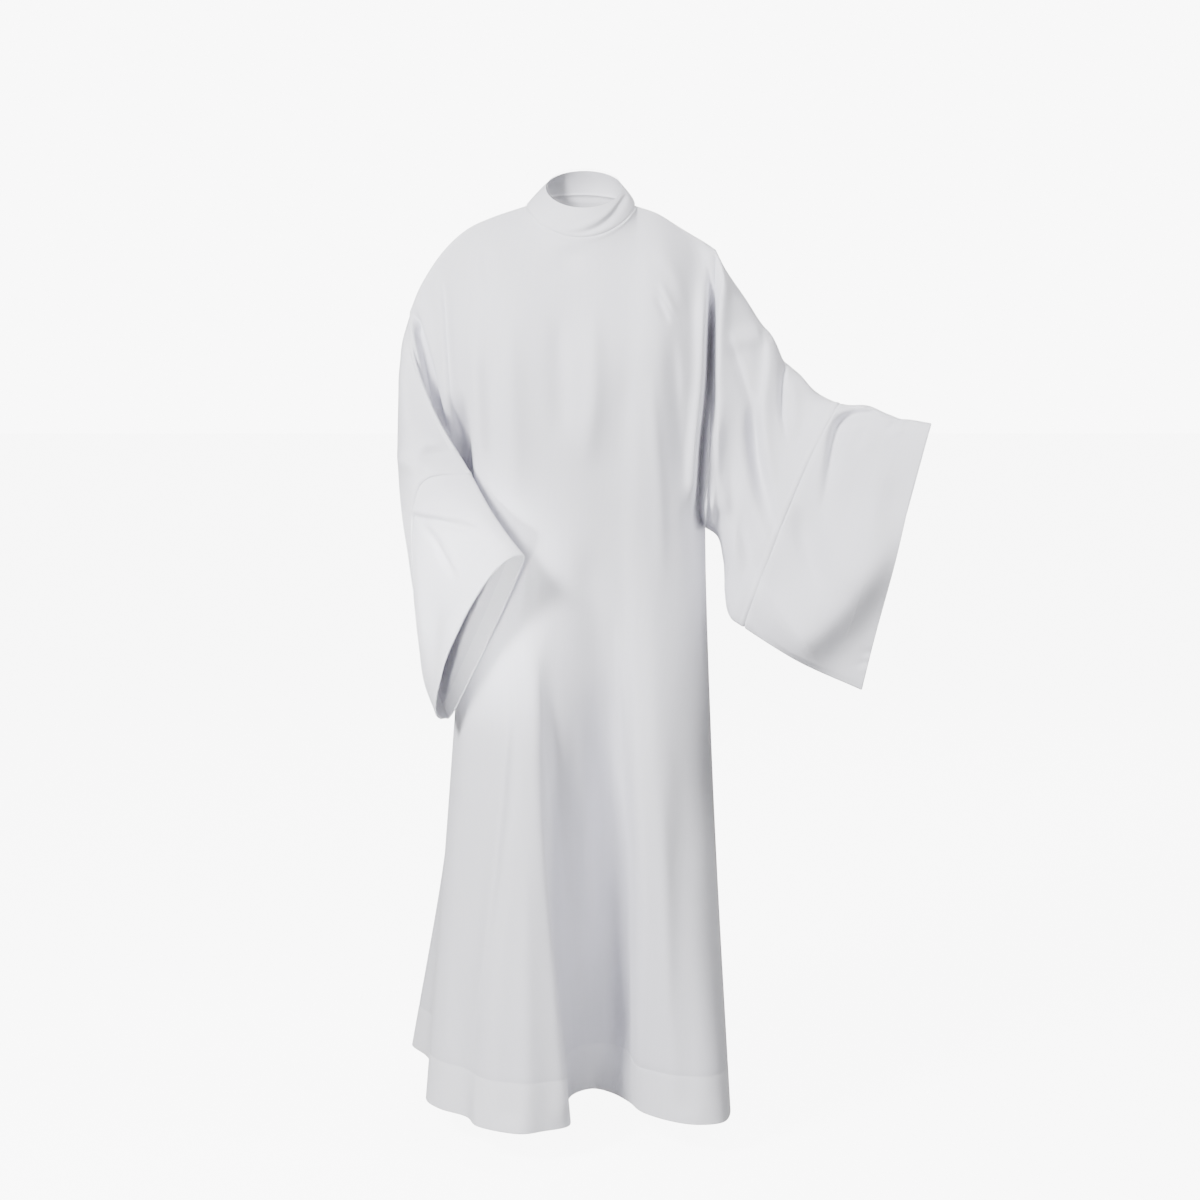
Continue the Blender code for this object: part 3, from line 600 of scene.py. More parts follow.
@dataclass(frozen=True)
class BodyForm:
    """The middle surface of the robe's body, front and back, from shoulders to hem."""

    right: SleeveForm
    left: SleeveForm
    armpit_z: float = -0.530
    thigh_z: float = -0.860
    hem_z: float = -1.480
    hem_turn_up: float = 0.078
    neck_from: float = 1 / 3
    neck_to: float = 2 / 3
    neck_front: tuple[float, float] = (-0.078, -0.062)
    neck_back: tuple[float, float] = (0.062, 0.012)
    neck_power: float = 1.4
    ease_reach: float = 0.05
    ease_ends: float = 0.12
    sharp_fade: int = 40
    soft_fade: int = 7
    depth_fade: int = 3
    side_reach: float = 0.05
    chest_swell: float = -0.034
    back_swell: float = 0.030
    swell_power: float = 0.8
    middle_calm: float = 0.5
    armpit_slope: tuple[float, float] = (0.5, 0.0)

    def lines(self, layer: Layer) -> tuple[BodyLine, ...]:
        """The lines of one layer."""
        return FRONT_LINES if layer is Layer.FRONT else BACK_LINES

    def shoulder_line(self, u: Array, layer: Layer) -> Array:
        """Points along the right shoulder, the neckline and the left shoulder."""
        points = np.zeros(u.shape + (3,))
        parts = ((0.0, self.neck_from, RIGHT_SHOULDER), (self.neck_to, 1.0, LEFT_SHOULDER))
        for low, high, table in parts:
            part = (u >= low - TINY) & (u <= high + TINY)
            t = (u[part] - low) / (high - low)
            points[part, 0::2] = through(np.linspace(0, 1, len(table)), table, t)
        neck = (u > self.neck_from + TINY) & (u < self.neck_to - TINY)
        angle = np.pi * (u[neck] - self.neck_from) / (self.neck_to - self.neck_from)
        right, left = RIGHT_SHOULDER[-1], LEFT_SHOULDER[0]
        middle, half = (right[0] + left[0]) / 2, (left[0] - right[0]) / 2
        deep_y, deep_z = self.neck_front if layer is Layer.FRONT else self.neck_back
        points[neck, 0] = middle - half * np.cos(angle)
        points[neck, 1] = deep_y * np.sin(angle)
        points[neck, 2] = right[1] + (deep_z - right[1]) * np.sin(angle) ** self.neck_power
        return points

    def eased(self, rows: Array, u: Array) -> Array:
        """The rows' first row averaged over its neighbours across, the same on every row.

        Args:
            rows: numbers at each point.
            u: places across.

        Returns:
            The averages, in the shape of rows.
        """
        place = u[0]
        weight = bell(place[:, None] - place[None], self.ease_reach) * np.gradient(place)
        weight /= weight.sum(axis=1, keepdims=True)
        return np.broadcast_to(weight @ rows[0], rows.shape)

    def upper(self, u: Array, v: Array, layer: Layer) -> Array:
        """Points from the shoulders (v 0) to the armpits (v 1)."""
        lines = self.lines(layer)
        over = self.shoulder_line(u, layer)
        few = np.array(CALM_PLACES)
        calm = self.shoulder_line(few, layer)
        calm[1:-1, 1] = np.array(CALM_SHARES) * calm[2, 1]
        calm = through(few, calm, u)
        raised = over - calm
        eased = self.eased(raised, u) * smooth(np.minimum(u, 1 - u) / self.ease_ends)[..., None]
        sharp = ((1 - v) ** self.sharp_fade)[..., None]
        fade = ((1 - v) ** self.soft_fade)[..., None]
        over = calm + (raised * sharp + eased * (1 - sharp)) * fade
        armpits = np.array([line.levels()[2] for line in lines])
        flat = through(np.linspace(0, 1, len(lines)), armpits, u)
        under = np.concatenate([flat, np.full(u.shape + (1,), self.armpit_z)], axis=-1)
        right = self.right.points(np.zeros(v.shape), v, layer)
        left = self.left.points(np.zeros(v.shape), v, layer)
        share = np.stack([v, 1 - (1 - v) ** self.depth_fade, v], -1)
        down = over * (1 - share) + under * share
        corner_right = over[0, 0] * (1 - share[:, :1]) + under[0, 0] * share[:, :1]
        corner_left = over[0, -1] * (1 - share[:, :1]) + under[0, -1] * share[:, :1]
        across = u[..., None]
        edge = bell(np.minimum(u, 1 - u), self.side_reach)[..., None]
        swell = self.chest_swell if layer is Layer.FRONT else self.back_swell
        keep = np.stack([1 + 0 * u, 1 - self.middle_calm * np.sin(np.pi * u), 1 + 0 * u], -1)
        fuller = np.stack([0 * v, swell * np.sin(np.pi * v**self.swell_power) ** 2, 0 * v], -1)
        off = (right - corner_right) * (1 - across) + (left - corner_left) * across
        level = off * np.array([1.0, 0.0, 1.0])
        return down + off * edge + (level + fuller * keep) * (1 - edge)

    def skirt(self, u: Array, z: Array, layer: Layer) -> Array:
        """Points from the armpits to the hem, at height z."""
        lines = self.lines(layer)
        knots = np.linspace(0, 1, len(lines))
        level = np.array([line.levels() for line in lines])
        at = np.stack([through(knots, level[:, k], u) for k in range(3)], axis=0)
        place = np.array([self.hem_z, self.thigh_z, self.armpit_z])
        slope = np.gradient(at, place, axis=0)
        slope[-1] *= np.array(self.armpit_slope)
        flat = np.zeros(z.shape + (2,))
        for k in (0, 1):
            span = place[k + 1] - place[k]
            part = between(((z - place[k]) / span)[..., None], span, at, slope, k)
            flat = np.where((z > self.thigh_z)[..., None] == bool(k), part, flat)
        return np.concatenate([flat, z[..., None]], axis=-1)


# --------------------------------------------------------------------- grids and pieces

# Creases fade out this near to the shoulders, the sides, the over-arm and the under-arm lines
FREE_SHOULDER = 0.014
FREE_SIDE = 0.016
FREE_OVER_ARM = 0.012
FREE_UNDER_ARM = 0.018

# Points of two grids are one point where they agree to this part of a metre
JOIN_PARTS = 1e5
NO_AREA = 1e-12
LEVEL_SLACK = 1e-6
SHARP_ANGLE = 1.0

# Which way the cloth faces at the armpits, where three seams meet: across and up
ARMPIT_FACES = (0.20, -0.98)


def spread(count: int, crowd: float) -> Array:
    """Places from 0 to 1, closer together at both ends as crowd goes from 0 to 1."""
    even = np.linspace(0, 1, count + 1)
    return crowd * (1 - np.cos(np.pi * even)) / 2 + (1 - crowd) * even


def along_cloth(points: Array) -> Array:
    """Each point's place on the flat cloth, measured along its row and column."""
    across = np.linalg.norm(np.diff(points, axis=1), axis=-1).cumsum(axis=1)
    down = np.linalg.norm(np.diff(points, axis=0), axis=-1).cumsum(axis=0)
    across = np.concatenate([np.zeros((len(points), 1)), across], axis=1)
    down = np.concatenate([np.zeros((1, points.shape[1])), down], axis=0)
    across -= across[:, across.shape[1] // 2][:, None]
    return np.stack([across, -down], axis=-1)


@dataclass
class Grid:
    """A grid of points on the middle surface, with what each point needs."""

    points: Array
    creased: CreaseField
    free: Array
    raised: Array
    doubled: Array
    turned: bool

    def size(self) -> int:
        """How many points it has."""
        return self.points[..., 0].size

    def folds(self) -> Array:
        """How far the creases move each point."""
        x, z = self.points[..., 0], self.points[..., 2]
        return (self.creased.shift(x, z) * self.free).ravel()

    def triangles(self) -> Array:
        """Corner numbers of the grid's triangles, facing out."""
        rows, columns = self.points.shape[:2]
        number = np.arange(rows * columns).reshape(rows, columns)
        a, b = number[:-1, :-1].ravel(), number[:-1, 1:].ravel()
        c, d = number[1:, 1:].ravel(), number[1:, :-1].ravel()
        faces = np.concatenate([np.stack([a, d, c], 1), np.stack([a, c, b], 1)])
        return faces[:, ::-1] if self.turned else faces


@dataclass(frozen=True)
class Seam:
    """What a seam does to the cloth beside it: a groove, and allowances pressed to one side."""

    groove: float = 0.0016
    groove_width: float = 0.0022
    allowance: float = 0.0009
    allowance_width: float = 0.0100
    allowance_edge: float = 0.003
    allowance_rise: float = 0.002
    lap: float = 0.010
    shows_double: float = 0.35
    rows: tuple[float, ...] = (0.0012, 0.0024, 0.0042, 0.0066, 0.0080, 0.0092, 0.0104)

    def raised(self, away: Array, doubled: Array) -> Array:
        """How far the cloth stands out.

        Args:
            away: distance to the nearest seam.
            doubled: distance to the nearest seam whose allowances lie on this side.

        Returns:
            The shift out in metres.
        """
        under = smooth((self.allowance_width - doubled) / self.allowance_edge)
        under = under * smooth(away / self.allowance_rise)
        return self.allowance * under - self.groove * bell(away, self.groove_width)

    def doubled(self, away: Array) -> Array:
        """How much the cloth shows double at a distance from the seam."""
        return self.shows_double * bell(away, self.lap, 4)

    def stations(self) -> Array:
        """Distances to the seam where the grid needs rows."""
        return np.array(self.rows)


@dataclass(frozen=True)
class ArmTuck:
    """The hollow where the front dips between the chest and the forward right arm."""

    depth: float = 0.020
    width: float = 0.013
    top_z: float = -0.150
    top_fade: float = 0.050
    low_z: float = -0.440
    low_fade: float = 0.120
    shoulder_fade: float = 0.040

    def shift(self, away: Array, z: Array, from_top: Array) -> Array:
        """How far the cloth stands out, below 0.

        Args:
            away: distance to the line where the sleeve begins.
            z: height.
            from_top: distance to the shoulder line.

        Returns:
            The shift out in metres.
        """
        window = smooth((self.top_z - z) / self.top_fade) * smooth((z - self.low_z) / self.low_fade)
        return -self.depth * window * bell(away, self.width) * smooth(from_top / self.shoulder_fade)


SEAM = Seam()
ARM_TUCK = ArmTuck()


class Cloth:
    """One cut piece: grids joined where their points meet, as a single middle sheet."""

    def __init__(self, name: str, grids: list[Grid]) -> None:
        """Join the grids.

        Args:
            name: the piece's name.
            grids: its grids, in order.
        """
        self.name = name
        self.grids = grids
        sizes = [grid.size() for grid in grids]
        flat = np.concatenate([grid.points.reshape(-1, 3) for grid in grids])
        which = np.repeat(np.arange(len(grids)), sizes)
        keys = np.round(flat * JOIN_PARTS).astype(np.int64)
        seen: dict[tuple, tuple[int, int]] = {}
        numbers = np.zeros(len(flat), int)
        keep: list[int] = []
        for index, (key, sheet) in enumerate(zip(map(tuple, keys.tolist()), which.tolist())):
            known = seen.get(key)
            if known is None or known[0] == sheet:
                seen.setdefault(key, (sheet, len(keep)))
                numbers[index] = len(keep)
                keep.append(index)
            else:
                numbers[index] = known[1]
        starts = np.concatenate([[0], np.cumsum(sizes)])
        self.numbers = [
            numbers[begin:end].reshape(grid.points.shape[:2])
            for grid, begin, end in zip(grids, starts[:-1], starts[1:])
        ]
        faces = [numbers[begin + grid.triangles()] for grid, begin in zip(grids, starts[:-1])]
        self.faces = np.concatenate(faces)
        self.sheet_of = np.repeat(np.arange(len(faces)), [len(part) for part in faces])
        self.points = flat[keep]
        self.keys = [tuple(key) for key in keys[keep].tolist()]
        self.place = np.concatenate(
            [along_cloth(grid.points).reshape(-1, 2)[grid.triangles()] for grid in grids]
        )
        self.doubled = np.concatenate([grid.doubled.ravel() for grid in grids])[keep]
        self.folds = np.concatenate([grid.folds() for grid in grids])[keep]
        self.raised = np.concatenate([grid.raised.ravel() for grid in grids])[keep]
        self.ways = np.repeat([grid.creased.way for grid in grids], sizes, axis=0)[keep]
        self.normals = np.zeros(self.points.shape)

    def facing(self) -> Array:
        """Each point's direction out: the mean over the grids that meet there."""
        total = np.zeros(self.points.shape)
        for sheet in range(self.sheet_of.max() + 1):
            faces = self.faces[self.sheet_of == sheet]
            out = np.zeros(self.points.shape)
            for k in range(3):
                here = self.points[faces[:, k]]
                one = self.points[faces[:, (k + 1) % 3]] - here
                two = self.points[faces[:, (k + 2) % 3]] - here
                way = np.cross(one, two)
                size = np.maximum(np.linalg.norm(way, axis=1), NO_AREA)
                angle = np.arctan2(size, (one * two).sum(axis=1))
                np.add.at(out, faces[:, k], way * (angle / size)[:, None])
            total += unit(out)
        return total

    def rim(self) -> Array:
        """The edges that one triangle uses, in its direction."""
        edges = self.faces[:, [0, 1, 1, 2, 2, 0]].reshape(-1, 2)
        there = {tuple(edge) for edge in edges.tolist()}
        return np.array([edge for edge in sorted(there) if edge[::-1] not in there])

    def build(self, wall: float, material: bpy.types.Material) -> bpy.types.Object:
        """Give the sheet its thin wall.

        Args:
            wall: the cloth's thickness.
            material: its finish.

        Returns:
            The new object.
        """
        outer = self.points + self.normals * wall / 2
        inner = self.points - self.normals * wall / 2
        count = len(outer)
        a, b = self.rim().T
        around = np.concatenate([np.stack([b, a, a + count], 1), np.stack([b, a + count, b + count], 1)])
        faces = np.concatenate([self.faces, self.faces[:, ::-1] + count, around])
        part = mesh_object(self.name, np.concatenate([outer, inner]), faces, material)
        mesh = part.data
        flat = mesh.uv_layers.new(name="cloth")
        edge = np.zeros((len(around), 3, 2))
        place = np.concatenate([self.place, self.place[:, ::-1], edge])
        flat.data.foreach_set("uv", place.ravel())
        doubled = mesh.attributes.new("doubled", "FLOAT", "POINT")
        doubled.data.foreach_set("value", np.concatenate([self.doubled, self.doubled]))
        return part


def mesh_object(
    name: str, points: Array, faces: Array, material: bpy.types.Material
) -> bpy.types.Object:
    """A smooth mesh object in the scene.

    Args:
        name: its name.
        points: corner places.
        faces: corner numbers, three a face.
        material: its finish.

    Returns:
        The new object.
    """
    mesh = bpy.data.meshes.new(name)
    mesh.vertices.add(len(points))
    mesh.vertices.foreach_set("co", np.asarray(points, np.float32).ravel())
    mesh.loops.add(faces.size)
    mesh.loops.foreach_set("vertex_index", faces.astype(np.int32).ravel())
    mesh.polygons.add(len(faces))
    mesh.polygons.foreach_set("loop_start", np.arange(0, faces.size, 3, dtype=np.int32))
    mesh.update(calc_edges=True)
    mesh.shade_smooth()
    mesh.set_sharp_from_angle(angle=SHARP_ANGLE)
    mesh.materials.append(material)
    part = bpy.data.objects.new(name, mesh)
    bpy.context.scene.collection.objects.link(part)
    return part


def settle(pieces: list[Cloth]) -> None:
    """Crease every piece and give all of them normals that agree along their seams."""
    armpits = {}
    for rings, side in ((RIGHT_RINGS, -1.0), (LEFT_RINGS, 1.0)):
        place = np.array([rings[0].low_x, rings[0].low_y, rings[0].low_z])
        key = tuple(np.round(place * JOIN_PARTS).astype(int).tolist())
        armpits[key] = np.array([ARMPIT_FACES[0] * side, 0.0, ARMPIT_FACES[1]])
    for step in ("crease", "wall"):
        facing: dict[tuple, Array] = {}
        for piece in pieces:
            for key, way in zip(piece.keys, piece.facing()):
                facing[key] = facing[key] + way if key in facing else way
        facing.update(armpits)
        for piece in pieces:
            piece.normals = unit(np.array([facing[key] for key in piece.keys]))
            if step == "crease":
                has_way = np.abs(piece.ways).sum(axis=1, keepdims=True) > 0
                way = np.where(has_way, piece.ways, piece.normals)
                piece.points = piece.points + way * piece.folds[:, None]
                piece.points = piece.points + piece.normals * piece.raised[:, None]


# ------------------------------------------------------------------------- the finishes

FULL_TURN = 6.2832

# Uneven threads: the noise's scale across and down and its detail, and each later one's share
SLUBS = ((900.0, 14.0, 2.0), (22.0, 700.0, 1.0), (160.0, 5.0, 2.0))
SLUB_SHARES = (0.55, 0.8)
SLUB_LIGHT = 0.75
WEAVE_HEIGHT = 0.35
CLOUD = {"Scale": 7.0, "Detail": 3.0}


def new_group(name: str, inputs: dict[str, float], outputs: tuple[str, ...]) -> bpy.types.NodeTree:
    """A shader node group of numbers, with its input and output nodes inside.

    Args:
        name: the group's name.
        inputs: each input and its usual value.
        outputs: each output.

    Returns:
        The group.
    """
    group = bpy.data.node_groups.new(name, "ShaderNodeTree")
    for label, value in inputs.items():
        socket = group.interface.new_socket(name=label, in_out="INPUT", socket_type="NodeSocketFloat")
        socket.default_value = value
    for label in outputs:
        group.interface.new_socket(name=label, in_out="OUTPUT", socket_type="NodeSocketFloat")
    group.nodes.new("NodeGroupInput")
    group.nodes.new("NodeGroupOutput")
    return group


class Shop:
    """Makes nodes in one tree and joins them."""

    def __init__(self, tree: bpy.types.NodeTree) -> None:
        """Work in this tree."""
        self.tree = tree

    @staticmethod
    def give(node: bpy.types.Node, values: dict[str, object]) -> None:
        """Set a node's inputs by name."""
        for label, value in values.items():
            node.inputs[label].default_value = value

    def node(
        self, kind: str, values: dict[str, object] | None = None, **settings: object
    ) -> bpy.types.Node:
        """A new node, with its settings and the values of its inputs."""
        node = self.tree.nodes.new(kind)
        for name, value in settings.items():
            setattr(node, name, value)
        self.give(node, values or {})
        return node

    def join(self, start: bpy.types.NodeSocket, end: bpy.types.NodeSocket) -> None:
        """A link between two sockets."""
        self.tree.links.new(start, end)

    def maths(self, what: str, one: object, two: object) -> bpy.types.NodeSocket:
        """The result of a Math node on sockets or numbers."""
        node = self.node("ShaderNodeMath", operation=what)
        for socket, value in zip(node.inputs, (one, two)):
            if isinstance(value, (int, float)):
                socket.default_value = value
            else:
                self.join(value, socket)
        return node.outputs[0]

    def times(self, one: object, two: object) -> bpy.types.NodeSocket:
        """The product of two sockets or numbers."""
        return self.maths("MULTIPLY", one, two)

    def plus(self, one: object, two: object) -> bpy.types.NodeSocket:
        """The sum of two sockets or numbers."""
        return self.maths("ADD", one, two)

    def blend(self, one: tuple, two: tuple, share: bpy.types.NodeSocket) -> bpy.types.NodeSocket:
        """A colour between two, at a share of the way."""
        mix = self.node("ShaderNodeMix", {"A": (*one, 1.0), "B": (*two, 1.0)}, data_type="RGBA")
        self.join(share, mix.inputs["Factor"])
        return mix.outputs["Result"]


def new_material(name: str) -> tuple[bpy.types.Material, Shop, bpy.types.Node]:
    """A node material, a shop in its tree and its shader."""
    material = bpy.data.materials.new(name)
    material.use_nodes = True
    return material, Shop(material.node_tree), material.node_tree.nodes["Principled BSDF"]


def woven_threads() -> bpy.types.NodeTree:
    """Plain weave with uneven threads: its height, and how light each place is."""
    group = new_group(
        "Woven threads",
        {"Threads per metre": 1500.0, "Slub": 1.0, "Cloudiness": 1.0},
        ("Height", "Lightness"),
    )
    shop = Shop(group)
    given = group.nodes["Group Input"].outputs
    result = group.nodes["Group Output"].inputs
    flat = shop.node("ShaderNodeUVMap", uv_map="cloth")
    split = shop.node("ShaderNodeSeparateXYZ")
    shop.join(flat.outputs["UV"], split.inputs[0])
    waves = []
    for axis in ("X", "Y"):
        turns = shop.times(split.outputs[axis], given["Threads per metre"])
        waves.append(shop.maths("SINE", shop.times(turns, FULL_TURN), 0.0))
    weave = shop.times(waves[0], waves[1])
    slubs = []
    for across, down, detail in SLUBS:
        stretch = shop.node("ShaderNodeMapping", {"Scale": (across, down, 1.0)})
        shop.join(flat.outputs["UV"], stretch.inputs["Vector"])
        noise = shop.node(
            "ShaderNodeTexNoise", {"Scale": 1.0, "Detail": detail}, noise_dimensions="2D"
        )
        shop.join(stretch.outputs[0], noise.inputs["Vector"])
        slubs.append(shop.maths("SUBTRACT", noise.outputs["Fac"], 0.5))
    cloud = shop.node("ShaderNodeTexNoise", CLOUD, noise_dimensions="3D")
    here = shop.node("ShaderNodeTexCoord")
    shop.join(here.outputs["Object"], cloud.inputs["Vector"])
    uneven = slubs[0]
    for slub, share in zip(slubs[1:], SLUB_SHARES):
        uneven = shop.plus(uneven, shop.times(slub, share))
    uneven = shop.times(uneven, given["Slub"])
    shop.join(shop.plus(shop.times(weave, WEAVE_HEIGHT), uneven), result["Height"])
    cloudy = shop.maths("SUBTRACT", cloud.outputs["Fac"], 0.5)
    cloudy = shop.times(cloudy, given["Cloudiness"])
    shop.join(shop.plus(shop.times(uneven, SLUB_LIGHT), cloudy), result["Lightness"])
    return group


@dataclass(frozen=True)
class ClothFinish:
    """Thin white plain-weave cloth, a little lighter where it lies double."""

    name: str
    single: Triple = (0.745, 0.742, 0.80)
    double: Triple = (0.82, 0.817, 0.87)
    shade: float = 0.055
    roughness: float = 0.78
    unevenly_rough: float = 0.08
    gloss: float = 0.25
    bump: float = 0.10
    bump_height: float = 0.0004
    sheen: float = 0.12
    sheen_roughness: float = 0.6
    glow_through: float = 0.25
    glow_reach: float = 0.004

    def material(self, threads: bpy.types.NodeTree) -> bpy.types.Material:
        """The finish as a node material.

        Args:
            threads: the woven threads group.

        Returns:
            The new material.
        """
        material, shop, shader = new_material(self.name)
        weave = shop.node("ShaderNodeGroup", node_tree=threads)
        doubled = shop.node("ShaderNodeAttribute", attribute_name="doubled")
        colour = shop.blend(self.single, self.double, doubled.outputs["Fac"])
        gain = shop.plus(shop.times(weave.outputs["Lightness"], self.shade), 1.0)
        tint = shop.node("ShaderNodeVectorMath", operation="SCALE")
        shop.join(colour, tint.inputs[0])
        shop.join(gain, tint.inputs["Scale"])
        shop.join(tint.outputs[0], shader.inputs["Base Color"])
        rough = shop.times(weave.outputs["Height"], self.unevenly_rough)
        shop.join(shop.plus(rough, self.roughness), shader.inputs["Roughness"])
        bump = shop.node("ShaderNodeBump", {"Strength": self.bump, "Distance": self.bump_height})
        shop.join(weave.outputs["Height"], bump.inputs["Height"])
        shop.join(bump.outputs[0], shader.inputs["Normal"])
        shop.give(shader, {
            "Specular IOR Level": self.gloss,
            "Sheen Weight": self.sheen,
            "Sheen Roughness": self.sheen_roughness,
            "Subsurface Weight": self.glow_through,
            "Subsurface Radius": (1.0, 1.0, 1.0),
            "Subsurface Scale": self.glow_reach,
        })
        material.diffuse_color = (*self.single, 1.0)
        return material


@dataclass(frozen=True)
class ThreadFinish:
    """White sewing thread, twisted."""

    name: str
    colour: Triple = (0.80, 0.81, 0.83)
    twists: float = 900.0
    between_twists: float = 0.86
    roughness: float = 0.6
    gloss: float = 0.3

    def material(self) -> bpy.types.Material:
        """The finish as a node material."""
        material, shop, shader = new_material(self.name)
        here = shop.node("ShaderNodeTexCoord")
        twist = shop.node(
            "ShaderNodeTexWave", {"Scale": self.twists}, wave_type="BANDS", bands_direction="DIAGONAL"
        )
        shop.join(here.outputs["Object"], twist.inputs["Vector"])
        dark = tuple(self.between_twists * c for c in self.colour)
        shop.join(shop.blend(dark, self.colour, twist.outputs["Fac"]), shader.inputs["Base Color"])
        shop.give(shader, {"Roughness": self.roughness, "Specular IOR Level": self.gloss})
        return material


# -------------------------------------------------------------------------- the pieces


@dataclass
class Panels:
    """The front and the back: each a body with both upper sleeves, in one piece."""

    body: BodyForm
    columns: int = 168
    ring_rows: int = 96
    skirt_rows: int = 84
    hem_rows: int = 11
    sleeve_steps: int = 72
    crowd: float = 0.6
    side_crowd: float = 0.275
    sleeve_crowd: float = 0.07
    seam_margin: float = 0.0125
    right_seam: float = 3.0
    left_seam: float = 4.0
    ring_length: float = 0.085
    hem_steps: Triple = (0.002, -0.0015, -0.008)
    hem_over: float = 0.0012
    hem_soft: float = 0.0016
    hem_dent: float = 0.0006
    right_sleeve_fade: float = 0.5

    def seam(self, side: Side) -> float:
        """Where a sleeve's seam is, in rings along the arm."""
        return self.right_seam if side is Side.RIGHT else self.left_seam

    def widths(self) -> Array:
        """Places across the body, closer together at the sides."""
        third = self.columns // 3
        across = spread(third, self.crowd)
        half = np.linspace(0, 1, third + 1)
        sides = half + self.side_crowd * (half**2 - half)
        left = 1 - sides[::-1] / 3
        return np.concatenate([sides / 3, 1 / 3 + across[1:-1] / 3, left])

    def rows(self) -> Array:
        """Places from over-arm to under-arm."""
        return spread(self.ring_rows, self.crowd)

    def stations(self, seam: float) -> Array:
        """Places along a sleeve from the armhole to its seam."""
        even = np.linspace(0, 1, self.sleeve_steps + 1)
        near = self.seam_margin / self.ring_length
        far = (seam - near) * (even - self.sleeve_crowd * np.sin(2 * np.pi * even))
        return np.concatenate([far, seam - SEAM.stations()[::-1] / self.ring_length, [seam]])

    def body_grid(self, layer: Layer) -> Grid:
        """The body's grid of one layer, shoulders to hem."""
        body, front = self.body, layer is Layer.FRONT
        u, v = np.meshgrid(self.widths(), self.rows())
        top = body.upper(u, v, layer)
        hem_top = body.hem_z + body.hem_turn_up
        before, after, later = (hem_top + step for step in self.hem_steps)
        heights = [
            *np.linspace(body.armpit_z, before, self.skirt_rows + 1)[1:],
            hem_top,
            after,
            *np.linspace(later, body.hem_z, self.hem_rows),
        ]
        u_low, z = np.meshgrid(self.widths(), heights)
        points = np.concatenate([top, body.skirt(u_low, z, layer)], axis=0)
        level = points[..., 2]
        from_top = apart(points, points[:1])
        side_gap = apart(points, points[:, :1])
        below = level < body.armpit_z + LEVEL_SLACK
        near_side = np.where(below, np.minimum(side_gap, apart(points, points[:, -1:])), side_gap)
        free = smooth(from_top / FREE_SHOULDER) * smooth(near_side / FREE_SIDE)
        doubled = smooth((hem_top + self.hem_over - level) / self.hem_soft)
        doubled = np.maximum(doubled, SEAM.doubled(from_top))
        doubled = np.maximum(doubled, np.where(below, SEAM.doubled(near_side), 0))
        near = np.where(below, np.minimum(from_top, near_side), from_top)
        raised = SEAM.raised(near, near) - self.hem_dent * bell(level - hem_top, self.hem_soft)
        if front:
            raised = raised + ARM_TUCK.shift(side_gap, level, from_top)
        return Grid(points, BODY_FIELDS[layer], free, raised, doubled, turned=not front)

    def sleeve_grid(self, side: Side, layer: Layer, armhole: Array) -> Grid:
        """One upper sleeve's grid, from the armhole's points to the sleeve seam.

        Args:
            side: which sleeve.
            layer: its front or back layer.
            armhole: the body's points where it begins.

        Returns:
            The grid.
        """
        right, front = side is Side.RIGHT, layer is Layer.FRONT
        form = self.body.right if right else self.body.left
        s, w = np.meshgrid(self.stations(self.seam(side)), self.rows())
        points = form.points(s, w, layer)
        points[:, 0] = armhole
        gap_top = apart(points, points[:1])
        if not right:
            lift_left_sleeve(points, gap_top)
        gap_low = apart(points, points[-1:])
        free = smooth(gap_top / FREE_OVER_ARM) * smooth(gap_low / FREE_UNDER_ARM)
        if right:
            free = free * smooth(s / self.right_sleeve_fade)
        near = np.minimum(np.minimum(gap_top, gap_low), apart(points, points[:, -1:]))
        raised = SEAM.raised(near, near)
        if right and front:
            away = apart(points, points[:, :1])
            raised = raised + ARM_TUCK.shift(away, points[:, :1, 2], gap_top[:, :1])
        fields = RIGHT_SLEEVE_FIELDS if right else BODY_FIELDS
        return Grid(points, fields[layer], free, raised, SEAM.doubled(near), turned=right is front)

    def cloths(self) -> dict[Layer, Cloth]:
        """The front and the back as sheets."""
        made = {}
        for layer in Layer:
            body = self.body_grid(layer)
            rows = self.ring_rows + 1
            left = self.sleeve_grid(Side.LEFT, layer, body.points[:rows, -1])
            right = self.sleeve_grid(Side.RIGHT, layer, body.points[:rows, 0])
            made[layer] = Cloth(f"alb_{layer.value}", [body, left, right])
        return made


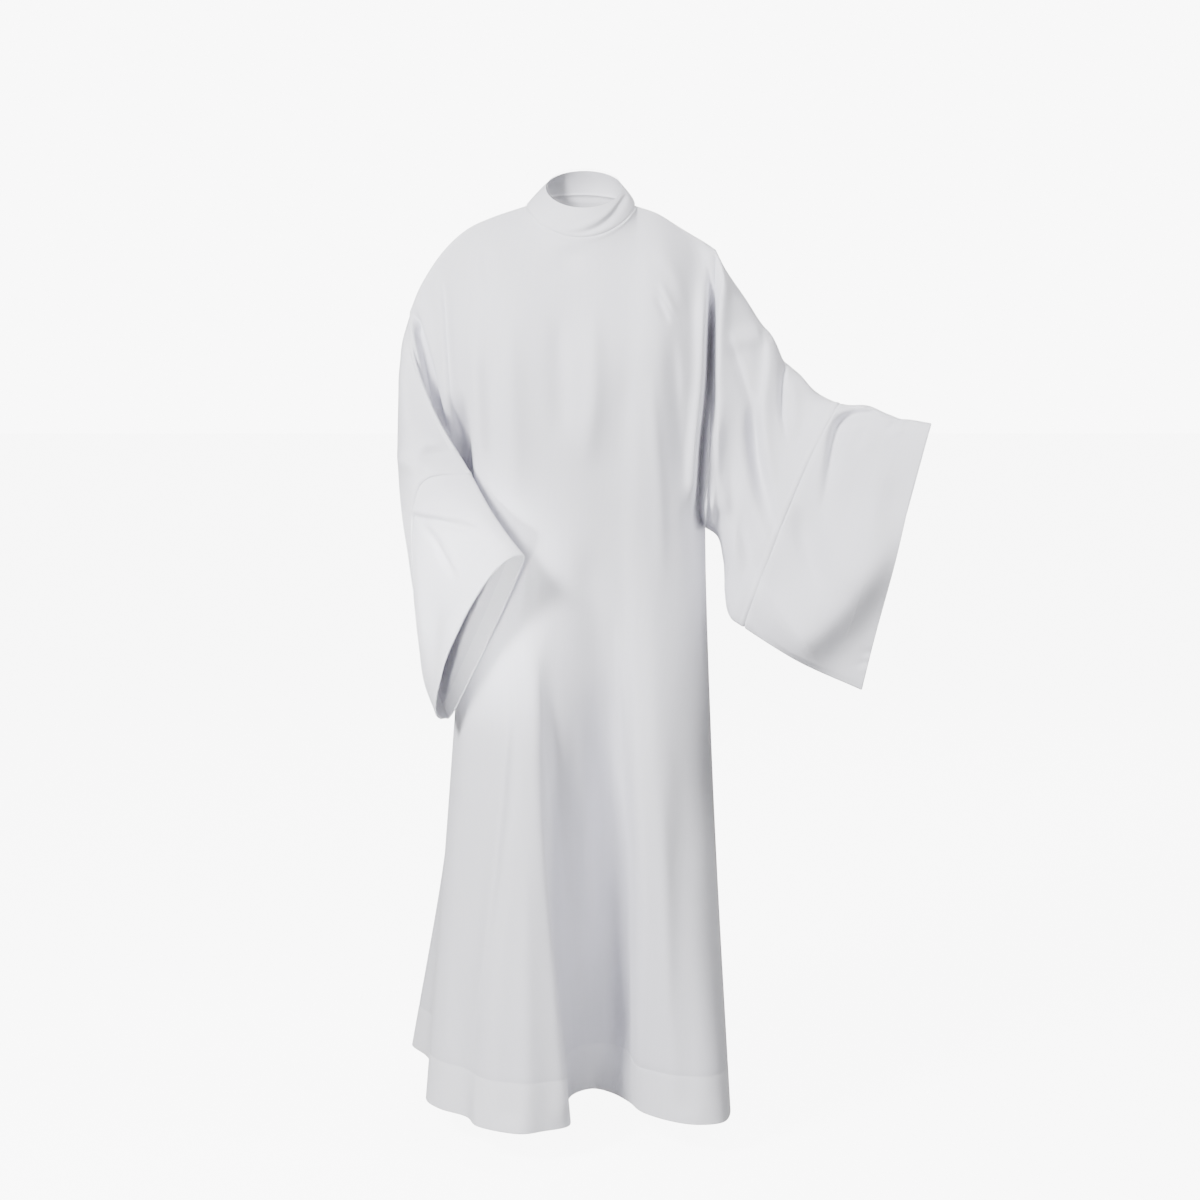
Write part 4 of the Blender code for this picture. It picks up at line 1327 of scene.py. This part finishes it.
@dataclass
class SleeveExtension:
    """The bell-shaped end of a sleeve, one sheet round the arm.

    The distances from after_seam on are in rings along the arm.
    """

    side: Side
    form: SleeveForm
    panels: Panels
    steps: int = 46
    cuff_rows: int = 8
    turn_up: float = 0.038
    shows_double: float = 0.15
    after_seam: float = 0.12
    by_hem: float = 0.02
    below_hem: float = 0.08
    doubled_from: float = 0.012

    def cloth(self) -> Cloth:
        """The extension as a sheet."""
        right, length = self.side is Side.RIGHT, self.panels.ring_length
        seam = self.panels.seam(self.side)
        cuff = self.form.rings[-1].along
        hem = cuff - self.turn_up / length
        first = [seam, *(seam + SEAM.stations()[:4] / length)]
        steps = np.linspace(seam + self.after_seam, hem - self.by_hem, self.steps + 1)
        last = np.linspace(hem + self.below_hem, cuff, self.cuff_rows)
        stations = np.concatenate([first, steps, [hem, hem + self.by_hem], last])
        s, w = np.meshgrid(stations, self.panels.rows())
        layers = [self.form.points(s, w, layer) for layer in Layer]
        points = np.concatenate([layers[0][::-1], layers[1][1:]], axis=0)
        count = len(layers[0])
        over, under = points[count - 1], points[0]
        gap_over = apart(points, over)
        if not right:
            lift_left_sleeve(points, gap_over)
        gap_under = apart(points, under)
        free = smooth(gap_over / FREE_OVER_ARM) * smooth(gap_under / FREE_UNDER_ARM)
        rows = np.concatenate([s, s[1:]], axis=0)
        to_seam = apart(points, points[:, :1])
        doubled = self.shows_double * smooth((rows - hem + self.doubled_from) / self.by_hem)
        doubled = np.maximum(doubled, SEAM.doubled(to_seam))
        doubled = np.maximum(doubled, SEAM.doubled(gap_under))
        raised = SEAM.raised(np.minimum(to_seam, gap_under), gap_under)
        fields = RIGHT_SLEEVE_FIELDS if right else BODY_FIELDS
        parts = (slice(0, count), slice(count - 1, None))
        grids = [
            Grid(points[part], fields[layer], free[part], raised[part], doubled[part], turned=not right)
            for part, layer in zip(parts, Layer)
        ]
        return Cloth(f"alb_sleeve_extension_{self.side.value}", grids)


@dataclass
class Collar:
    """The standing collar band, with its ends together on the left shoulder.

    Its crease runs slantwise round the neck; the places and widths of the crease are turns
    round the collar in radians, from the left shoulder forward.
    """

    rows: int = 22
    middle_x: float = 0.002
    half_width: float = 0.061
    front_y: float = -0.060
    back_y: float = 0.050
    front_z: float = -0.015
    side_z: float = 0.021
    back_z: float = 0.050
    roundness: float = 0.003
    # painted shade: the band lies double, but its doubled share is kept low so that the collar shows
    # darker, standing in for the shade the head casts on it
    doubled: float = 0.1
    crease_at: float = 0.60
    crease_share: float = 0.35
    crease_slant: float = 1.62
    dip: float = 0.0044
    dip_width: float = 0.27
    crest: float = 0.0018
    crest_width: float = 0.20
    crest_away: float = 0.46
    top_fade: tuple[float, float] = (0.12, 0.2)
    low_fade: float = 0.30
    wave: float = 0.0010
    waves: float = 5
    wave_start: float = 1.3

    def bent(self, turn: Array, share: Array) -> Array:
        """How far the crease and a slow wave move the band out.

        Args:
            turn: places round the collar.
            share: places from its top edge, 0, to its seam, 1.

        Returns:
            The shift out in metres.
        """
        away = turn - (self.crease_at + self.crease_slant * (share - self.crease_share))
        window = smooth((share - self.top_fade[0]) / self.top_fade[1])
        window = window * smooth((1 - share) / self.low_fade)
        crest = self.crest * bell(away - self.crest_away, self.crest_width)
        crease = (self.dip * bell(away, self.dip_width) - crest) * window
        return -crease + self.wave * np.sin(self.waves * turn + self.wave_start) * np.sin(np.pi * share)

    def cloth(self, front: Array, back: Array) -> Cloth:
        """The collar as a sheet.

        Args:
            front: the neckline of the front, right to left.
            back: the neckline of the back, right to left.

        Returns:
            The sheet.
        """
        low = np.concatenate([front[::-1], back[1:]])
        place = np.concatenate([[0], np.linalg.norm(np.diff(low, axis=0), axis=1).cumsum()])
        half = place[len(front) - 1]
        turn = np.where(
            np.arange(len(low)) < len(front),
            np.pi * place / half,
            np.pi + np.pi * (place - half) / (place[-1] - half),
        )
        ahead = np.sin(turn)
        depth = np.where(ahead > 0, -self.front_y, self.back_y)
        fall = np.where(ahead > 0, self.front_z - self.side_z, self.side_z - self.back_z)
        across = self.middle_x + self.half_width * np.cos(turn)
        high = np.stack([across, -depth * ahead, self.side_z + fall * ahead], axis=-1)
        t = np.sin(0.5 * np.pi * np.linspace(0, 1, self.rows + 1))[:, None, None]
        out = np.stack([np.cos(turn), -ahead, 0 * turn], axis=-1)
        points = high * (1 - t) + low * t + out * self.roundness * np.sin(np.pi * t)
        share = np.broadcast_to(t[..., 0], points.shape[:2])
        points = points + out * self.bent(turn, share)[..., None]
        plain = np.zeros(points.shape[:2])
        raised = SEAM.raised(apart(points, points[-1:]), plain + 1.0)
        # the low doubled share given here is the collar's painted shade
        grid = Grid(points, STILL_FIELD, plain, raised, plain + self.doubled, turned=True)
        return Cloth("alb_collar_band", [grid])


@dataclass(frozen=True)
class TurnUp:
    """The second layer of a hem, turned up inside along an edge of a sheet."""

    name: str
    inset: float = 0.0013
    wall: float = 0.0009
    fold: float = 0.0007
    inner_fold: float = 0.7

    def cloth(self, points: Array, normals: Array, turned: bool) -> Cloth:
        """The turned-up strip.

        Args:
            points: rows of the sheet from the top of the hem to its edge.
            normals: the sheet's normals there.
            turned: whether the strip's faces are turned over.

        Returns:
            The strip, with its last row folded round the edge.
        """
        inside = points - normals * self.inset
        down = unit(points[-1] - points[-2])
        edge = points[-1] + down * self.fold
        low = inside[-1] + down * self.inner_fold * self.fold
        rows = np.concatenate([inside, low[None], edge[None]], axis=0)
        plain = np.zeros(rows.shape[:2])
        return Cloth(self.name, [Grid(rows, STILL_FIELD, plain, plain, plain + 1.0, turned=turned)])


@dataclass(frozen=True)
class StitchRow:
    """A row of short stitches laid on the cloth along a line.

    profile gives each stitch's rings: place along it, girth and height, in radii.
    """

    name: str
    length: float = 0.0026
    gap: float = 0.0012
    radius: float = 0.00028
    sides: int = 6
    start: float = 0.15
    thinnest: float = 0.05
    stride: float = 0.0004
    profile: tuple[Triple, ...] = (
        (0.0, 0.0, -0.6), (0.12, 0.8, 0.25), (0.5, 1.0, 0.55), (0.88, 0.8, 0.25), (1.0, 0.0, -0.6),
    )

    def build(
        self, line: Array, out: Array, material: bpy.types.Material
    ) -> bpy.types.Object:
        """Lay the stitches.

        Args:
            line: points along the seam, on the cloth's face.
            out: the cloth's direction out at each point.
            material: the thread's finish.

        Returns:
            The stitches as one object.
        """
        runs = np.linalg.norm(np.diff(line, axis=0), axis=1)
        place = np.concatenate([[0.0], np.cumsum(runs)])
        step = self.length + self.gap
        count = int(place[-1] // step)
        starts = (np.arange(count) + self.start) * step
        angle = 2 * np.pi * np.arange(self.sides) / self.sides
        rings = []
        for share, girth, lift in self.profile:
            at = starts + share * self.length
            normal = unit(self.read(place, out, at))
            ahead = self.read(place, line, at + self.stride) - self.read(place, line, at - self.stride)
            aside = np.cross(unit(ahead), normal)
            girth = max(girth, self.thinnest) * self.radius
            ring = self.read(place, line, at)[:, None] + normal[:, None] * (lift * self.radius)
            ring = ring + aside[:, None] * (np.cos(angle) * girth)[None, :, None]
            ring = ring + normal[:, None] * (np.sin(angle) * girth)[None, :, None]
            rings.append(ring)
        points = np.stack(rings, axis=1).reshape(-1, 3)
        faces = []
        for ring in range(len(self.profile) - 1):
            for k in range(self.sides):
                a = ring * self.sides + k
                b = ring * self.sides + (k + 1) % self.sides
                faces += [(a, b, b + self.sides), (a, b + self.sides, a + self.sides)]
        block = len(self.profile) * self.sides * np.arange(count)
        every = (np.array(faces)[None] + block[:, None, None]).reshape(-1, 3)
        return mesh_object(self.name, points, every, material)

    @staticmethod
    def read(place: Array, rows: Array, at: Array) -> Array:
        """Rows of numbers read between their places."""
        return np.stack([np.interp(at, place, rows[:, k]) for k in range(3)], axis=1)


@dataclass
class Robe:
    """The whole robe: its sheets, their turn-ups and their stitches."""

    panels: Panels
    cloth_finish: ClothFinish
    thread_finish: ThreadFinish
    wall: float = 0.0011
    stitch_away: float = 0.003

    def __post_init__(self) -> None:
        """Make the finishes and the sheets."""
        threads = woven_threads()
        self.cloth_material = self.cloth_finish.material(threads)
        self.thread_material = self.thread_finish.material()
        body = self.panels.body
        self.sheets = self.panels.cloths()
        self.ends = {
            side: SleeveExtension(side, form, self.panels).cloth()
            for side, form in ((Side.RIGHT, body.right), (Side.LEFT, body.left))
        }
        third = self.panels.columns // 3
        necks = [self.sheets[layer].grids[0].points[0, third : 2 * third + 1] for layer in Layer]
        self.collar = Collar().cloth(*necks)
        settle([*self.sheets.values(), *self.ends.values(), self.collar])

    def place(self, cloth: Cloth, node: str, extras: list[bpy.types.Object]) -> bpy.types.Object:
        """Build one sheet and set it on the frame.

        Args:
            cloth: the sheet.
            node: the CAD node that it stands for.
            extras: the turn-ups and stitches on it.

        Returns:
            The sheet's object.
        """
        piece = cloth.build(self.wall, self.cloth_material)
        for part in (piece, *extras):
            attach(part, "root")
        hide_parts(node)
        return piece

    def turn_up(self, cloth: Cloth, number: Array, name: str, turned: bool) -> bpy.types.Object:
        """The turned-up hem along some rows of a sheet.

        Args:
            cloth: the sheet.
            number: its point numbers, rows from the top of the hem to the edge.
            name: the new piece's name.
            turned: whether the strip's faces are turned over.

        Returns:
            The strip's object.
        """
        strip = TurnUp(name)
        made = strip.cloth(cloth.points[number], cloth.normals[number], turned)
        made.normals = unit(made.facing())
        return made.build(strip.wall, self.cloth_material)

    def stitch(self, cloth: Cloth, number: Array, name: str, shift: float = 0.0) -> bpy.types.Object:
        """A row of stitches along a line of a sheet's points, on its outer face.

        Args:
            cloth: the sheet.
            number: point numbers along the line.
            name: the new piece's name.
            shift: how far the row stands to the left of the line.

        Returns:
            The stitches.
        """
        out = cloth.normals[number]
        line = cloth.points[number] + out * self.wall / 2
        aside = unit(np.cross(out, np.gradient(line, axis=0)))
        return StitchRow(name).build(line + aside * shift, out, self.thread_material)

    def build(self) -> list[bpy.types.Object]:
        """Build every piece of the robe."""
        made = []
        rows = self.panels.hem_rows + 2
        cuff_rows = SleeveExtension.cuff_rows + 2
        for layer, cloth in self.sheets.items():
            body, left, right = cloth.numbers
            end = f"_{layer.value}"
            extras = [
                self.turn_up(cloth, body[-rows:], "hem_turn_up" + end, layer is Layer.BACK),
                self.stitch(cloth, body[1 - rows], "stitches_hem" + end),
                self.stitch(cloth, left[1:-1, -1], "stitches_left_seam" + end, self.stitch_away),
                self.stitch(cloth, right[1:-1, -1], "stitches_right_seam" + end, self.stitch_away),
            ]
            made.append(self.place(cloth, f"{layer.value}_panel", extras))
        for side, cloth in self.ends.items():
            inner, outer = cloth.numbers
            number = np.concatenate([inner, outer[1:]], axis=0).T
            end = f"_{side.value}"
            extras = [
                self.turn_up(cloth, number[-cuff_rows:], "cuff_turn_up" + end, side is Side.RIGHT),
                self.stitch(cloth, number[1 - cuff_rows], "stitches_cuff" + end),
            ]
            made.append(self.place(cloth, "sleeve_extension" + end, extras))
        number = self.collar.numbers[0]
        extras = [
            self.stitch(self.collar, number[0], "stitches_collar_top", -self.stitch_away),
            self.stitch(self.collar, number[-1], "stitches_collar_seam", self.stitch_away),
        ]
        made.append(self.place(self.collar, "collar_band", extras))
        return made


# -------------------------------------------------------------------------- the studio

WHITE = (1.0, 1.0, 1.0, 1.0)


def stand(name: str, data: bpy.types.ID, place: Triple, aim: Triple) -> bpy.types.Object:
    """An object in the scene, at a place and turned to its aim."""
    thing = bpy.data.objects.new(name, data)
    thing.location = place
    way = Vector(aim) - Vector(place)
    thing.rotation_euler = way.to_track_quat("-Z", "Y").to_euler()
    bpy.context.scene.collection.objects.link(thing)
    return thing


@dataclass(frozen=True)
class Lamp:
    """One broad soft light; spread narrows its cone, in degrees, as a grid does."""

    name: str
    place: Triple
    size: float
    power: float
    aim: Triple = (0.05, 0.0, -0.55)
    spread: float = 180.0

    def build(self) -> bpy.types.Object:
        """Put the light in the scene and return it."""
        light = bpy.data.lights.new(self.name, "AREA")
        light.size = self.size
        light.energy = self.power
        light.spread = float(np.radians(self.spread))
        return stand(self.name, light, self.place, self.aim)


@dataclass(frozen=True)
class Studio:
    """Pale floor and backdrop, soft lights and the camera."""

    floor_z: float = -1.540
    floor_span: float = 30.0
    floor_roughness: float = 0.9
    floor_cloud: float = 3.0
    floor_dark: float = 0.99
    lens: float = 73.59
    film: float = 36.0
    far: float = 100.0
    eye: Triple = (0.028, -4.000, -0.220)
    aim: Triple = (0.028, 0.000, -0.648)
    pale: Triple = (0.42, 0.42, 0.42)
    ambient: float = 0.10
    backdrop: float = 9.0
    floor_glow: float = 8.2
    lamps: tuple[Lamp, ...] = (
        Lamp("key", (-2.05, -2.6, 1.35), 0.8, 400.0),
        Lamp("front", (1.0, -4.3, 0.3), 1.0, 62.0),
        Lamp("shoulder", (2.6, -0.8, 2.6), 0.8, 3.0, (0.33, -0.05, -0.22), 22.0),
        Lamp("cuff", (-0.72, -2.3, -1.25), 0.3, 0.75, (-0.236, -0.17, -0.650), 5.6),
        Lamp("back", (0.9, 3.6, 1.8), 2.2, 150.0),
    )

    def floor(self) -> bpy.types.Object:
        """A pale floor."""
        material, shop, shader = new_material("pale_floor")
        noise = shop.node("ShaderNodeTexNoise", {"Scale": self.floor_cloud})
        dark = tuple(self.floor_dark * c for c in self.pale)
        colour = shop.blend(dark, self.pale, noise.outputs["Fac"])
        shop.join(colour, shader.inputs["Base Color"])
        shop.give(shader, {"Roughness": self.floor_roughness, "Emission Color": WHITE})
        path = shop.node("ShaderNodeLightPath")
        glow = shop.times(path.outputs["Is Camera Ray"], self.floor_glow)
        shop.join(glow, shader.inputs["Emission Strength"])
        span = self.floor_span
        corners = [(-span, -span), (span, -span), (span, span), (-span, span)]
        points = np.array([(x, y, self.floor_z) for x, y in corners])
        floor = mesh_object("floor", points, np.array([(0, 1, 2), (0, 2, 3)]), material)
        return floor

    def build(self) -> None:
        """Build the floor, the lights, the world and the camera."""
        self.floor()
        for lamp in self.lamps:
            lamp.build()
        world = bpy.data.worlds.new("studio")
        world.use_nodes = True
        shop = Shop(world.node_tree)
        sky = world.node_tree.nodes["Background"]
        shop.give(sky, {"Color": WHITE})
        path = shop.node("ShaderNodeLightPath")
        gain = shop.times(path.outputs["Is Camera Ray"], self.backdrop - self.ambient)
        shop.join(shop.plus(gain, self.ambient), sky.inputs["Strength"])
        bpy.context.scene.world = world
        data = bpy.data.cameras.new("camera")
        data.lens = self.lens
        data.sensor_width = self.film
        data.clip_end = self.far
        bpy.context.scene.camera = stand("camera", data, self.eye, self.aim)


def main() -> None:
    """Build the robe and its studio."""
    logging.basicConfig(level=logging.INFO, format="%(name)s: %(message)s")
    body = BodyForm(right=SleeveForm(RIGHT_RINGS), left=SleeveForm(LEFT_RINGS))
    robe = Robe(Panels(body), ClothFinish("white_alb_cloth"), ThreadFinish("white_thread"))
    for piece in robe.build():
        LOG.info("%s: %d faces", piece.name, len(piece.data.polygons))
    Studio().build()
    LOG.info("studio built")


if __name__ == "__main__":
    main()
